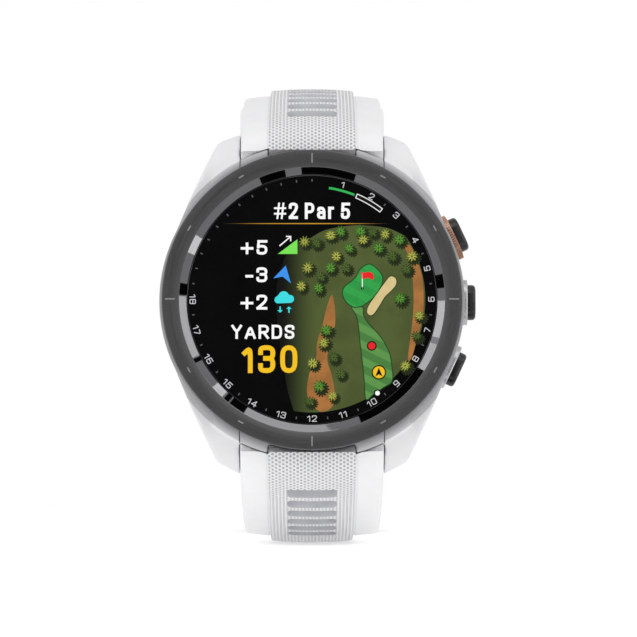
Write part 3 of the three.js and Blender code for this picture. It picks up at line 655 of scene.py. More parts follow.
@dataclass
class Bezel:
    """The dark metal ring: a brushed flat face, a polished inner slope and twelve marks."""

    outer: float = BEZEL_R
    face_inner: float = 18.12
    lip: float = 17.1
    lip_depth: float = 0.63
    foot: float = 1.8
    line_length: float = 1.35
    dash_length: float = 0.8
    mark_width: float = 0.2

    def ring(self) -> bpy.types.Object:
        """Builds the ring with its edges rounded by short arcs."""
        slope = [(17.3, self.foot), (self.lip, self.foot - 0.3), (self.lip, self.lip_depth + 0.1)]
        slope += [(self.lip + 0.04, self.lip_depth), (self.lip + 0.1, self.lip_depth - 0.03)]
        slope += [(self.face_inner - 0.03, 0.03), (self.face_inner + 0.03, 0.0)]
        edge = arc((self.outer - 0.12, 0.12), 0.12, -90, 0, 5)
        foot = [(self.outer, self.foot - 0.1), (self.outer - 0.1, self.foot)]
        made = turned("bezel_ring", slope + edge + foot, BEZEL_FACE, BEZEL_CHAMFER, steps=256,
                      zone=len(slope) - 1)
        return dress(made, "case", "bezel_metal", "bezel")

    def marks(self) -> bpy.types.Object:
        """Builds the marks: lines at the quarters and short dashes between, from one node tree."""
        tree = bpy.data.node_groups.new("bezel_marks", "GeometryNodeTree")
        for key, default in (("Radius", 19.35), ("Line", self.line_length), ("Dash", self.dash_length),
                             ("Width", self.mark_width)):
            socket = tree.interface.new_socket(key, in_out="INPUT", socket_type="NodeSocketFloat")
            socket.default_value = default * MM
        tree.interface.new_socket("Geometry", in_out="OUTPUT", socket_type="NodeSocketGeometry")
        kit = Nodes(tree)
        source, sink = kit.add("NodeGroupInput"), kit.add("NodeGroupOutput")
        circle = kit.add("GeometryNodeMeshCircle")
        circle.inputs["Vertices"].default_value = 12
        kit.link(source.outputs["Radius"], circle.inputs["Radius"])
        index = kit.add("GeometryNodeInputIndex")
        quarter = kit.add("FunctionNodeCompare", data_type="INT", operation="EQUAL")
        remainder = kit.add("ShaderNodeMath", operation="MODULO")
        kit.link(index.outputs[0], remainder.inputs[0])
        remainder.inputs[1].default_value = 3.0
        kit.link(remainder.outputs[0], quarter.inputs[2])
        turn = kit.add("ShaderNodeCombineXYZ")
        kit.link(kit.math("MULTIPLY", index.outputs[0], 2 * math.pi / 12), turn.inputs["Z"])
        sizes = []
        for radial, tangent in (("Line", "Width"), ("Width", "Dash")):
            size = kit.add("ShaderNodeCombineXYZ")
            kit.link(source.outputs[radial], size.inputs["X"])
            kit.link(source.outputs[tangent], size.inputs["Y"])
            size.inputs["Z"].default_value = 0.03 * MM
            cube = kit.add("GeometryNodeMeshCube")
            kit.link(size.outputs[0], cube.inputs["Size"])
            sizes.append(cube)
        placed = []
        for cube, wanted in zip(sizes, (True, False)):
            spread = kit.add("GeometryNodeInstanceOnPoints")
            kit.link(circle.outputs[0], spread.inputs["Points"])
            kit.link(cube.outputs["Mesh"], spread.inputs["Instance"])
            kit.link(turn.outputs[0], spread.inputs["Rotation"])
            chosen = quarter.outputs[0]
            if not wanted:
                flip = kit.add("FunctionNodeBooleanMath", operation="NOT")
                kit.link(chosen, flip.inputs[0])
                chosen = flip.outputs[0]
            kit.link(chosen, spread.inputs["Selection"])
            placed.append(spread)
        both = kit.add("GeometryNodeJoinGeometry")
        for spread in placed:
            kit.link(spread.outputs[0], both.inputs[0])
        real = kit.add("GeometryNodeRealizeInstances")
        kit.link(both.outputs[0], real.inputs[0])
        finish = kit.add("GeometryNodeSetMaterial")
        finish.inputs["Material"].default_value = BEZEL_MARK.material()
        kit.link(real.outputs[0], finish.inputs[0])
        kit.link(finish.outputs[0], sink.inputs[0])
        made = mesh_object("bezel_marks", [], [], BEZEL_MARK)
        grow = made.modifiers.new("marks", "NODES")
        grow.node_group = tree
        settle(made)
        made.data.transform(Matrix.Translation(at(0, 0, -0.002)) @ Matrix.Rotation(math.pi / 2, 4, "X"))
        return dress(smooth(made), "case", "bezel_metal")

    def build(self) -> None:
        """Builds the ring and its marks."""
        self.ring()
        self.marks()


@dataclass
class Glass:
    """The flat black cover glass, ground to a small edge."""

    radius: float = 17.08
    top: float = 0.6
    foot: float = 1.6

    def build(self) -> None:
        """Builds the glass."""
        edge = arc((self.radius - 0.12, self.top + 0.12), 0.12, -90, 0, 4)
        profile = [(0.0, self.top), *edge, (self.radius, self.foot), (0.0, self.foot)]
        dress(turned("glass_disc", profile, GLASS_BLACK, steps=192), "case", "glass_black", "cover_glass")


# ---------------------------------------------------------------- display picture

GREEN = ((7.74, 4.75), (8.61, 4.32), (9.31, 3.54), (9.6, 2.75), (9.31, 1.71), (8.35, 0.32), (7.31, -0.55),
         (6.61, -0.94), (5.57, -0.99), (4.61, -0.21), (4.21, 0.84), (4.52, 1.71), (5.39, 2.4), (6.09, 3.1),
         (6.61, 4.06))
BUNKER = ((10.7, 3.1), (11.39, 2.84), (11.45, 2.06), (10.87, 1.27), (9.92, 0.32), (9.05, -1.08),
          (8.35, -2.03),
          (7.83, -2.15), (7.51, -1.68), (7.83, -0.73), (9.05, 1.01), (9.92, 2.23))
FAIRWAY = ((5.48, -1.08), (6.09, -2.21), (6.38, -3.51), (6.61, -5.95), (6.96, -8.91), (7.2, -11.4),
           (7.39, -13.6),
           (8.35, -12.91), (9.7, -12.0), (10.87, -11.08), (10.75, -8.73), (10.35, -6.99), (9.22, -5.08),
           (7.65, -3.34),
           (6.96, -2.21), (6.82, -1.08))
LEFT_PATH = ((2.7, 0.58), (3.13, -1.42), (3.1, -3.69), (2.3, -6.2), (2.09, -8.38), (2.61, -10.12),
             (3.0, -12.0),
             (3.13, -13.95), (2.09, -15.2), (0.87, -15.2), (-0.3, -13.9), (-0.7, -12.56), (-0.35, -10.12),
             (0.52, -8.21), (0.7, -5.95), (1.39, -3.69), (1.91, -1.42))
RIGHT_PATH = ((12.52, 7.45), (13.4, 7.35), (14.2, 5.71), (14.95, 3.45), (15.2, 1.01), (15.1, -2.47),
              (14.3, -5.43),
              (13.57, -8.0), (13.05, -8.21), (13.31, -5.95), (13.74, -2.47), (13.83, 1.01), (13.48, 5.01))
GROUND_TOP = ((-2.09, 7.62), (-0.35, 8.32), (1.74, 9.45), (4.87, 10.06), (7.31, 10.1), (10.44, 9.71),
              (12.7, 8.67))
GROUND_LEFT = ((-2.5, -15.2), (-3.4, -12.0), (-4.4, -6.0), (-4.9, -1.0), (-4.6, 3.0), (-3.6, 6.0))
FLAG = ((6.7, 3.71), (7.2, 3.62), (7.65, 3.76), (8.35, 3.45), (8.31, 2.67), (7.65, 2.93), (6.87, 2.79))
BUSHES_LIGHT = ((2.52, 8.76), (10.0, 8.93), (-1.04, 7.89), (6.96, 8.15), (3.31, 5.88), (-0.61, 4.32),
                (-1.48, 1.8),
                (14.6, -2.21), (1.57, -5.95), (0.09, -8.73), (2.78, -13.2), (12.7, -9.08), (13.65, 5.88))
BUSHES_MIDDLE = ((3.91, 9.3), (6.61, 9.33), (11.92, 8.2), (9.05, 7.02), (2.52, 4.32), (12.0, 0.14),
                 (1.91, -4.21),
                 (0.96, -11.86), (0.87, 1.53), (5.04, 7.02))
BUSHES_DARK = ((0.6, 7.7), (8.3, 9.2), (10.96, 5.88), (4.61, 4.32), (2.96, -7.95), (-0.35, -13.9),
               (14.2, -4.99),
               (1.2, 3.1), (12.9, 4.1), (3.9, -10.2))


GLYPHS = {
    "0": (0.56, (((0, 0), (1, 0), (1, 1), (0, 1), (0, 0)),)),
    "1": (0.36, (((0, 0.76), (0.9, 1), (0.9, 0)),)),
    "2": (0.56, (((0, 0.76), (0, 1), (1, 1), (1, 0.6), (0.04, 0.04)), ((0, 0), (1, 0)))),
    "3": (0.56, (((0, 0.78), (0, 1), (1, 1), (1, 0.53), (0.4, 0.53)),
                 ((0.4, 0.53), (1, 0.53), (1, 0), (0, 0), (0, 0.22)))),
    "4": (0.6, (((0.76, 0), (0.76, 1)), ((0.76, 1), (0, 0.3)), ((0, 0.28), (1, 0.28)))),
    "5": (0.56, (((1, 1), (0.1, 1)), ((0.1, 1), (0.05, 0.52)),
                 ((0.05, 0.6), (1, 0.6), (1, 0), (0, 0), (0, 0.24)))),
    "6": (0.56, (((0.94, 1), (0, 1), (0, 0), (1, 0), (1, 0.56), (0, 0.56)),)),
    "7": (0.54, (((0, 1), (1, 1), (0.38, 0)),)),
    "8": (0.56, (((0, 0), (1, 0), (1, 1), (0, 1), (0, 0)), ((0, 0.52), (1, 0.52)))),
    "9": (0.56, (((1, 0.44), (0, 0.44), (0, 1), (1, 1), (1, 0), (0.06, 0)),)),
    "+": (0.66, (((0, 0.42), (1, 0.42)), ((0.5, 0.04), (0.5, 0.8)))),
    "-": (0.4, (((0, 0.38), (1, 0.38)),)),
    "#": (0.74, (((0.24, 0), (0.4, 1)), ((0.66, 0), (0.82, 1)), ((0, 0.3), (1, 0.3)),
                 ((0, 0.68), (1, 0.68)))),
    "P": (0.58, (((0, 0), (0, 1)), ((0, 1), (1, 1), (1, 0.42), (0, 0.42)))),
    "a": (0.52, (((0.04, 0.58), (0.04, 0.7), (1, 0.7), (1, 0)), ((1, 0.38), (0, 0.38), (0, 0), (1, 0)))),
    "r": (0.36, (((0, 0), (0, 0.7)), ((0, 0.5), (0.2, 0.7), (1, 0.7)))),
    "Y": (0.62, (((0, 1), (0.5, 0.45), (1, 1)), ((0.5, 0.45), (0.5, 0)))),
    "A": (0.64, (((0, 0), (0.5, 1), (1, 0)), ((0.2, 0.28), (0.8, 0.28)))),
    "R": (0.6, (((0, 0), (0, 1)), ((0, 1), (1, 1), (1, 0.45), (0, 0.45)), ((0.5, 0.45), (1.0, 0)))),
    "D": (0.6, (((0, 0), (0, 1)), ((0, 1), (1, 1), (1, 0), (0, 0)))),
    "S": (0.56, (((1, 0.78), (1, 1), (0, 1), (0, 0.55), (1, 0.47), (1, 0), (0, 0), (0, 0.22)),)),
}


@dataclass(frozen=True)
class Lettering:
    """Plain stroked letters: each glyph is a few bent strokes with eased corners."""

    stroke: float
    corner: float = 0.3
    gap: float = 0.16
    space: float = 0.26

    def width(self, text: str) -> float:
        """Returns a text's width as a share of its height."""
        return sum(self.space if c == " " else GLYPHS[c][0] + self.gap for c in text) - self.gap

    def eased(self, line: Sequence[Point]) -> list[Point]:
        """Rounds the bends of a stroke's middle line."""
        closed = line[0] == line[-1]
        corners = list(line[:-1]) if closed else list(line)
        count, made = len(corners), []
        for i, here in enumerate(corners):
            if not closed and i in (0, count - 1):
                made.append(here)
                continue
            before, after = corners[i - 1], corners[(i + 1) % count]
            ends = []
            for other in (before, after):
                length = math.dist(here, other)
                share = min(self.corner / length, 0.5)
                ends.append((here[0] + (other[0] - here[0]) * share, here[1] + (other[1] - here[1]) * share))
            made += [ends[0], *quad(ends[0], here, ends[1], 4)]
        return made + [made[0]] if closed else made

    def ribbon(self, line: Sequence[Point], half: float) -> Ribbon:
        """Widens a middle line into an outline, and a hole where the line closes on itself."""
        closed = math.dist(line[0], line[-1]) < 1e-9
        spots = list(line[:-1]) if closed else list(line)
        if not closed:
            for end, inner in ((0, 1), (-1, -2)):
                (x, y), (a, b) = spots[end], spots[inner]
                share = half / math.dist(spots[end], spots[inner])
                spots[end] = (x + (x - a) * share, y + (y - b) * share)
        count, left, right = len(spots), [], []
        for i, (x, y) in enumerate(spots):
            before = spots[i - 1] if closed or i else spots[i]
            after = spots[(i + 1) % count] if closed or i < count - 1 else spots[i]
            dx, dy = after[0] - before[0], after[1] - before[1]
            length = math.hypot(dx, dy)
            nx, ny = -dy / length, dx / length
            left.append((x + nx * half, y + ny * half))
            right.append((x - nx * half, y - ny * half))
        if closed:
            return right, left
        return left + right[::-1], None

    def ribbons(self, text: str, box: tuple[float, float, float, float]) -> list[Ribbon]:
        """Returns the outlines of a text set into a box (left, right, bottom, top)."""
        left, right, bottom, top = box
        tall = top - bottom
        stretch = (right - left) / (tall * self.width(text))
        made, cursor = [], left
        for letter in text:
            if letter == " ":
                cursor += self.space * tall * stretch
                continue
            wide, lines = GLYPHS[letter]
            reach = wide * tall * stretch
            half = self.stroke * tall * (0.32 if letter == "#" else 0.5)
            for line in lines:
                places = [(cursor + half + x * (reach - 2 * half),
                           bottom + half + y * (tall - 2 * half)) for x, y in line]
                ease = Lettering(self.stroke, self.corner * tall)
                made.append(ease.ribbon(ease.eased(places), half))
            cursor += reach + self.gap * tall * stretch
        return made


@dataclass
class Picture:
    """The lit picture under the glass: scores on the left and a hole's map on the right.

    The layers lie just in front of the glass, each a little nearer than the one below it.
    """

    glass: float = 0.6
    layer: float = 0.004
    map_radius: float = 15.45
    ring_radius: float = 16.28
    ring_height: float = 0.86

    def level(self, layer: int) -> float:
        """Returns a layer's depth in millimetres."""
        return self.glass - 0.006 - self.layer * layer

    def plate(self, name: str, outline: Sequence[Point], layer: int, finish: Finish,
              hole: Sequence[Point] | None = None) -> bpy.types.Object:
        """Makes one thin closed layer from an outline."""
        return prism(name, outline, self.level(layer), self.glass + 0.02, at, finish, hole=hole)

    def words(self, text: str, box: tuple[float, float, float, float], finish: Finish, stroke: float = 0.175,
              corner: float = 0.3) -> bpy.types.Object:
        """Sets a line of text into a box.

        Args:
            text: generic words or digits.
            box: left, right, bottom and top in dial millimetres.
            finish: the ink.
            stroke: the stroke's width as a share of the text's height.
            corner: how far from a bend it starts to round, as a share of the text's height.

        Returns:
            The text as one closed mesh.
        """
        marks = []
        for outline, hole in Lettering(stroke, corner).ribbons(text, box):
            marks.append(self.plate("letter", outline, 1, finish, hole))
        return joined("letters", marks)

    def ring_numbers(self) -> list[bpy.types.Object]:
        """Sets the hole numbers round the dial."""
        made = []
        for number in range(1, 19):
            angle = math.radians(number * 15)
            outward = number < 5
            tall = self.ring_height
            wide = tall * Lettering(0.14).width(str(number)) * 1.42
            label = self.words(str(number), (-wide / 2, wide / 2, -tall / 2, tall / 2), INK_GREY, 0.14, 0.14)
            turn = angle if outward else angle + math.pi
            x, z = self.ring_radius * math.sin(angle), self.ring_radius * math.cos(angle)
            spin = Matrix.Translation((x * MM, 0, z * MM)) @ Matrix.Rotation(turn, 4, "Y")
            label.data.transform(spin)
            made.append(label)
        return made

    def ring_arcs(self) -> list[bpy.types.Object]:
        """Makes the played arc under 1, the outlined arc under 2 and the ticks of the blank stretch."""

        def band(inner: float, outer: float, start: float, end: float) -> list[Point]:
            """Returns a band between two radii and two clock angles."""
            return arc((0, 0), outer, 90 - start, 90 - end, 16) + arc((0, 0), inner, 90 - end, 90 - start, 16)

        made = [self.plate("arc_played", band(15.28, 15.6, 8.6, 22.0), 1, INK_ARC)]
        made.append(self.plate("arc_current", band(15.08, 15.76, 23.0, 38.0), 1, INK_WHITE))
        made.append(self.plate("arc_current_inner", band(15.19, 15.65, 23.4, 37.6), 2, INK_BLACK))
        for angle in [-82.5 + 7.5 * i for i in range(12)] + [37.5 + 15.0 * i for i in range(16)]:
            made.append(self.plate("tick", band(16.15, 16.5, angle - 0.3, angle + 0.3), 1, INK_DIM))
        return made

    def scores(self) -> list[bpy.types.Object]:
        """Sets the header, the three adjustments, the word and the distance."""
        made = [self.words("#2 Par 5", (-5.2, 5.2, 11.0, 13.25), INK_WHITE)]
        made.append(self.words("+5", (-9.75, -6.1, 6.1, 8.1), INK_WHITE))
        made.append(self.words("-3", (-9.1, -6.1, 2.32, 4.38), INK_WHITE))
        made.append(self.words("+2", (-9.75, -6.1, -1.42, 0.62), INK_WHITE))
        made.append(self.words("YARDS", (-11.0, -2.4, -5.42, -3.5), INK_WHITE))
        made.append(self.words("130", (-9.5, -2.0, -10.08, -6.28), INK_AMBER, 0.17))
        for name, end, finish in (("left", -12.3, INK_GOLD_LEFT), ("right", 10.6, INK_GOLD_RIGHT)):
            line = ((0.0, 10.44), (0.0, 10.3), (end, 10.34), (end, 10.4))
            made.append(self.plate(f"header_line_{name}", line, 1, finish))
        made.append(self.plate("slope", ((-2.0, 6.2), (-2.0, 8.2), (-2.35, 7.95), (-4.68, 6.2)), 1,
                               INK_GREEN))
        made.append(self.plate("slope_arrow",
                               ((-4.5, 7.36), (-4.38, 7.24), (-3.0, 8.42), (-3.0, 7.95), (-2.84, 7.95),
                                               (-2.84, 8.68), (-3.56, 8.68), (-3.56, 8.52), (-3.12, 8.52)), 1,
                               INK_WHITE))
        made.append(self.plate("wind", ((-3.59, 4.62), (-2.88, 2.16), (-4.0, 3.1), (-5.28, 2.86)), 1,
                               INK_BLUE))
        return made + self.cloud()

    def cloud(self) -> list[bpy.types.Object]:
        """Makes the air-pressure cloud with its two arrows."""
        puffs = arc((-4.62, -0.08), 0.5, 260, 110, 8) + arc((-3.86, 0.36), 0.74, 160, 20, 8)
        puffs += arc((-3.0, 0.04), 0.55, 80, -80, 8)
        made = [self.plate("cloud", puffs[::-1], 1, INK_CYAN)]
        for x, up in ((-4.35, False), (-3.15, True)):
            tip, tail, head = (-1.0, -1.85, -1.32) if up else (-1.85, -1.0, -1.5)
            arrow = ((x - 0.1, tail), (x + 0.1, tail), (x + 0.1, head), (x + 0.38, head), (x, tip),
                     (x - 0.38, head),
                     (x - 0.1, head))
            made.append(self.plate("air_arrow", arrow, 1, INK_CYAN))
        return made

    def course(self) -> list[bpy.types.Object]:
        """Makes the hole's map: ground, paths, fairway, green, bunker, flag and markers."""
        rim = arc((0, 0), self.map_radius, 32.5, -99.5, 60)
        ground = curve_through(GROUND_TOP, False, 5) + rim + curve_through(GROUND_LEFT, False, 5)
        made = [self.plate("map_ground", ground, 0, INK_GROUND)]
        for name, outline, layer, finish in (("map_path_left", LEFT_PATH, 1, INK_PATH),
                                             ("map_path_right", RIGHT_PATH, 1, INK_PATH),
                                             ("map_fairway", FAIRWAY, 3, INK_FAIRWAY),
                                             ("map_green", GREEN, 5, INK_PUTTING),
                                             ("map_bunker", BUNKER, 5, INK_SAND)):
            made.append(self.plate(name, curve_through(outline), layer, finish))
        for name, outline, layer in (("map_fairway_edge", FAIRWAY, 2), ("map_green_edge", GREEN, 4),
                                     ("map_bunker_edge", BUNKER, 4)):
            made.append(self.plate(name, self.grown(curve_through(outline), 0.14), layer, INK_EDGE))
        made.append(self.plate("flag_cloth", curve_through(FLAG, steps=3), 7, INK_RED))
        made.append(self.plate("flag_pole", ((6.8, 3.6), (6.92, 3.6), (6.92, 1.5), (6.8, 1.5)), 7, INK_WHITE))
        made.append(self.disc("flag_cup", (6.86, 1.5), 0.2, 7, INK_BLACK))
        for name, spot, radius, finish in (("target", (8.14, -6.38), 0.5, INK_RED),
                                           ("player", (9.1, -9.98), 0.82, INK_AMBER),
                                           ("ball", (8.91, -12.82), 0.32, INK_WHITE)):
            made.append(self.disc(f"marker_{name}_edge", spot, radius + 0.17, 6, INK_BLACK))
            made.append(self.disc(f"marker_{name}", spot, radius, 7, finish))
        made.append(self.plate("player_arrow", ((9.1, -9.34), (9.6, -10.56), (9.1, -10.26), (8.6, -10.56)), 8,
                               INK_BLACK))
        return made

    def grown(self, outline: Sequence[Point], by: float) -> list[Point]:
        """Pushes a closed outline outwards."""
        count = len(outline)
        area = sum(a[0] * b[1] - b[0] * a[1] for a, b in zip(outline, list(outline[1:]) + [outline[0]]))
        side = by if area > 0 else -by
        line = []
        for i, (x, z) in enumerate(outline):
            before, after = outline[i - 1], outline[(i + 1) % count]
            dx, dz = after[0] - before[0], after[1] - before[1]
            length = math.hypot(dx, dz) or 1.0
            line.append((x + side * dz / length, z - side * dx / length))
        return line

    def disc(self, name: str, spot: Point, radius: float, layer: int, finish: Finish) -> bpy.types.Object:
        """Makes a round marker."""
        return self.plate(name, arc(spot, radius, 0, 345, 23), layer, finish)

    def build(self) -> None:
        """Builds the picture's layers and joins them by subject."""
        for name, layers in (("display_scores", self.scores()),
                             ("display_ring", self.ring_numbers() + self.ring_arcs()),
                             ("display_map", self.course())):
            dress(joined(name, layers), "case", "display_dark")
        for seed, (kind, spots) in enumerate((("light", BUSHES_LIGHT), ("middle", BUSHES_MIDDLE),
                                              ("dark", BUSHES_DARK))):
            under, tips = LEAVES[kind]
            shade = [(x + 0.36, z - 0.42) for x, z in spots]
            Planting(f"map_shade_{kind}", shade, INK_SHADOW, seed, self.level(2), 0.74, 14, 0.36).build()
            Planting(f"map_bushes_{kind}", spots, under, seed, self.level(6), 0.62, 10).build()
            Planting(f"map_tips_{kind}", spots, tips, seed + 5, self.level(8), 0.44, 8, 0.17).build()


@dataclass
class Planting:
    """Bushes of the lit map, grown on points by one node tree."""

    name: str
    spots: Sequence[Point]
    finish: Finish
    seed: int
    level: float
    leaf: float
    leaves: int
    slim: float = 0.28

    def tree(self) -> bpy.types.GeometryNodeTree:
        """Builds the node tree: leaves on a small circle, and that rosette on every point."""
        tree = bpy.data.node_groups.new(self.name, "GeometryNodeTree")
        tree.interface.new_socket("Geometry", in_out="INPUT", socket_type="NodeSocketGeometry")
        for key, kind, default in (("Leaf", "NodeSocketFloat", self.leaf * MM),
                                   ("Leaves", "NodeSocketInt", self.leaves),
                                   ("Seed", "NodeSocketInt", self.seed)):
            tree.interface.new_socket(key, in_out="INPUT", socket_type=kind).default_value = default
        tree.interface.new_socket("Geometry", in_out="OUTPUT", socket_type="NodeSocketGeometry")
        kit = Nodes(tree)
        source, sink = kit.add("NodeGroupInput"), kit.add("NodeGroupOutput")
        ring = kit.add("GeometryNodeMeshCircle")
        kit.link(source.outputs["Leaves"], ring.inputs["Vertices"])
        kit.link(kit.math("MULTIPLY", source.outputs["Leaf"], 0.8), ring.inputs["Radius"])
        leaf = kit.add("GeometryNodeMeshCylinder")
        leaf.inputs["Vertices"].default_value = 8
        kit.link(kit.math("MULTIPLY", source.outputs["Leaf"], 0.62), leaf.inputs["Radius"])
        leaf.inputs["Depth"].default_value = 0.006 * MM
        index = kit.add("GeometryNodeInputIndex")
        turn = kit.add("ShaderNodeCombineXYZ")
        share = kit.math("DIVIDE", index.outputs[0], source.outputs["Leaves"])
        kit.link(kit.math("MULTIPLY", share, 2 * math.pi), turn.inputs["Z"])
        rosette = kit.add("GeometryNodeInstanceOnPoints")
        kit.link(ring.outputs[0], rosette.inputs["Points"])
        kit.link(leaf.outputs["Mesh"], rosette.inputs["Instance"])
        kit.link(turn.outputs[0], rosette.inputs["Rotation"])
        rosette.inputs["Scale"].default_value = (1.0, self.slim, 1.0)
        spread = kit.add("GeometryNodeInstanceOnPoints")
        kit.link(source.outputs["Geometry"], spread.inputs["Points"])
        kit.link(rosette.outputs[0], spread.inputs["Instance"])
        for key, low, high, offset in (("Rotation", (0, 0, 0), (0, 0, 3.0), 0),
                                       ("Scale", (0.75,) * 3, (1.1,) * 3, 1)):
            rand = kit.add("FunctionNodeRandomValue", data_type="FLOAT_VECTOR")
            rand.inputs[0].default_value = low
            rand.inputs[1].default_value = high
            kit.link(kit.math("ADD", source.outputs["Seed"], float(offset)), rand.inputs["Seed"])
            kit.link(rand.outputs[0], spread.inputs[key])
        real = kit.add("GeometryNodeRealizeInstances")
        kit.link(spread.outputs[0], real.inputs[0])
        finish = kit.add("GeometryNodeSetMaterial")
        finish.inputs["Material"].default_value = self.finish.material()
        kit.link(real.outputs[0], finish.inputs[0])
        kit.link(finish.outputs[0], sink.inputs[0])
        return tree

    def build(self) -> None:
        """Grows the bushes and lays them on the map."""
        made = mesh_object(self.name, [Vector((x * MM, z * MM, 0)) for x, z in self.spots], [], self.finish)
        grow = made.modifiers.new("bushes", "NODES")
        grow.node_group = self.tree()
        settle(made)
        made.data.transform(Matrix.Translation(at(0, 0, self.level)) @ Matrix.Rotation(math.pi / 2, 4, "X"))
        dress(smooth(made), "case", "display_dark")


# ---------------------------------------------------------------- case


def across(z: float, depth: float, x: float) -> Vector:
    """Places a side outline's corner (z, depth) at x."""
    return at(x, z, depth)


def stadium(length: float, width: float, middle: float = 0.0, steps: int = 20) -> list[Point]:
    """Returns a bar outline with round ends, centred on (0, middle)."""
    half = (length - width) / 2
    return arc((half, middle), width / 2, -90, 90, steps) + arc((-half, middle), width / 2, 90, 270, steps)


def quad(start: Point, control: Point, end: Point, steps: int = 10) -> list[Point]:
    """Returns a quadratic curve's points after its start."""
    spots = [i / steps for i in range(1, steps + 1)]
    return [tuple((1 - t) ** 2 * a + 2 * t * (1 - t) * b + t * t * c
                  for a, b, c in zip(start, control, end)) for t in spots]


def cubic(start: Point, first: Point, second: Point, end: Point, steps: int = 16) -> list[Point]:
    """Returns a cubic curve's points after its start."""
    spots = [i / steps for i in range(1, steps + 1)]
    return [tuple((1 - t) ** 3 * a + 3 * t * (1 - t) ** 2 * b + 3 * t * t * (1 - t) * c + t ** 3 * d
                  for a, b, c, d in zip(start, first, second, end)) for t in spots]


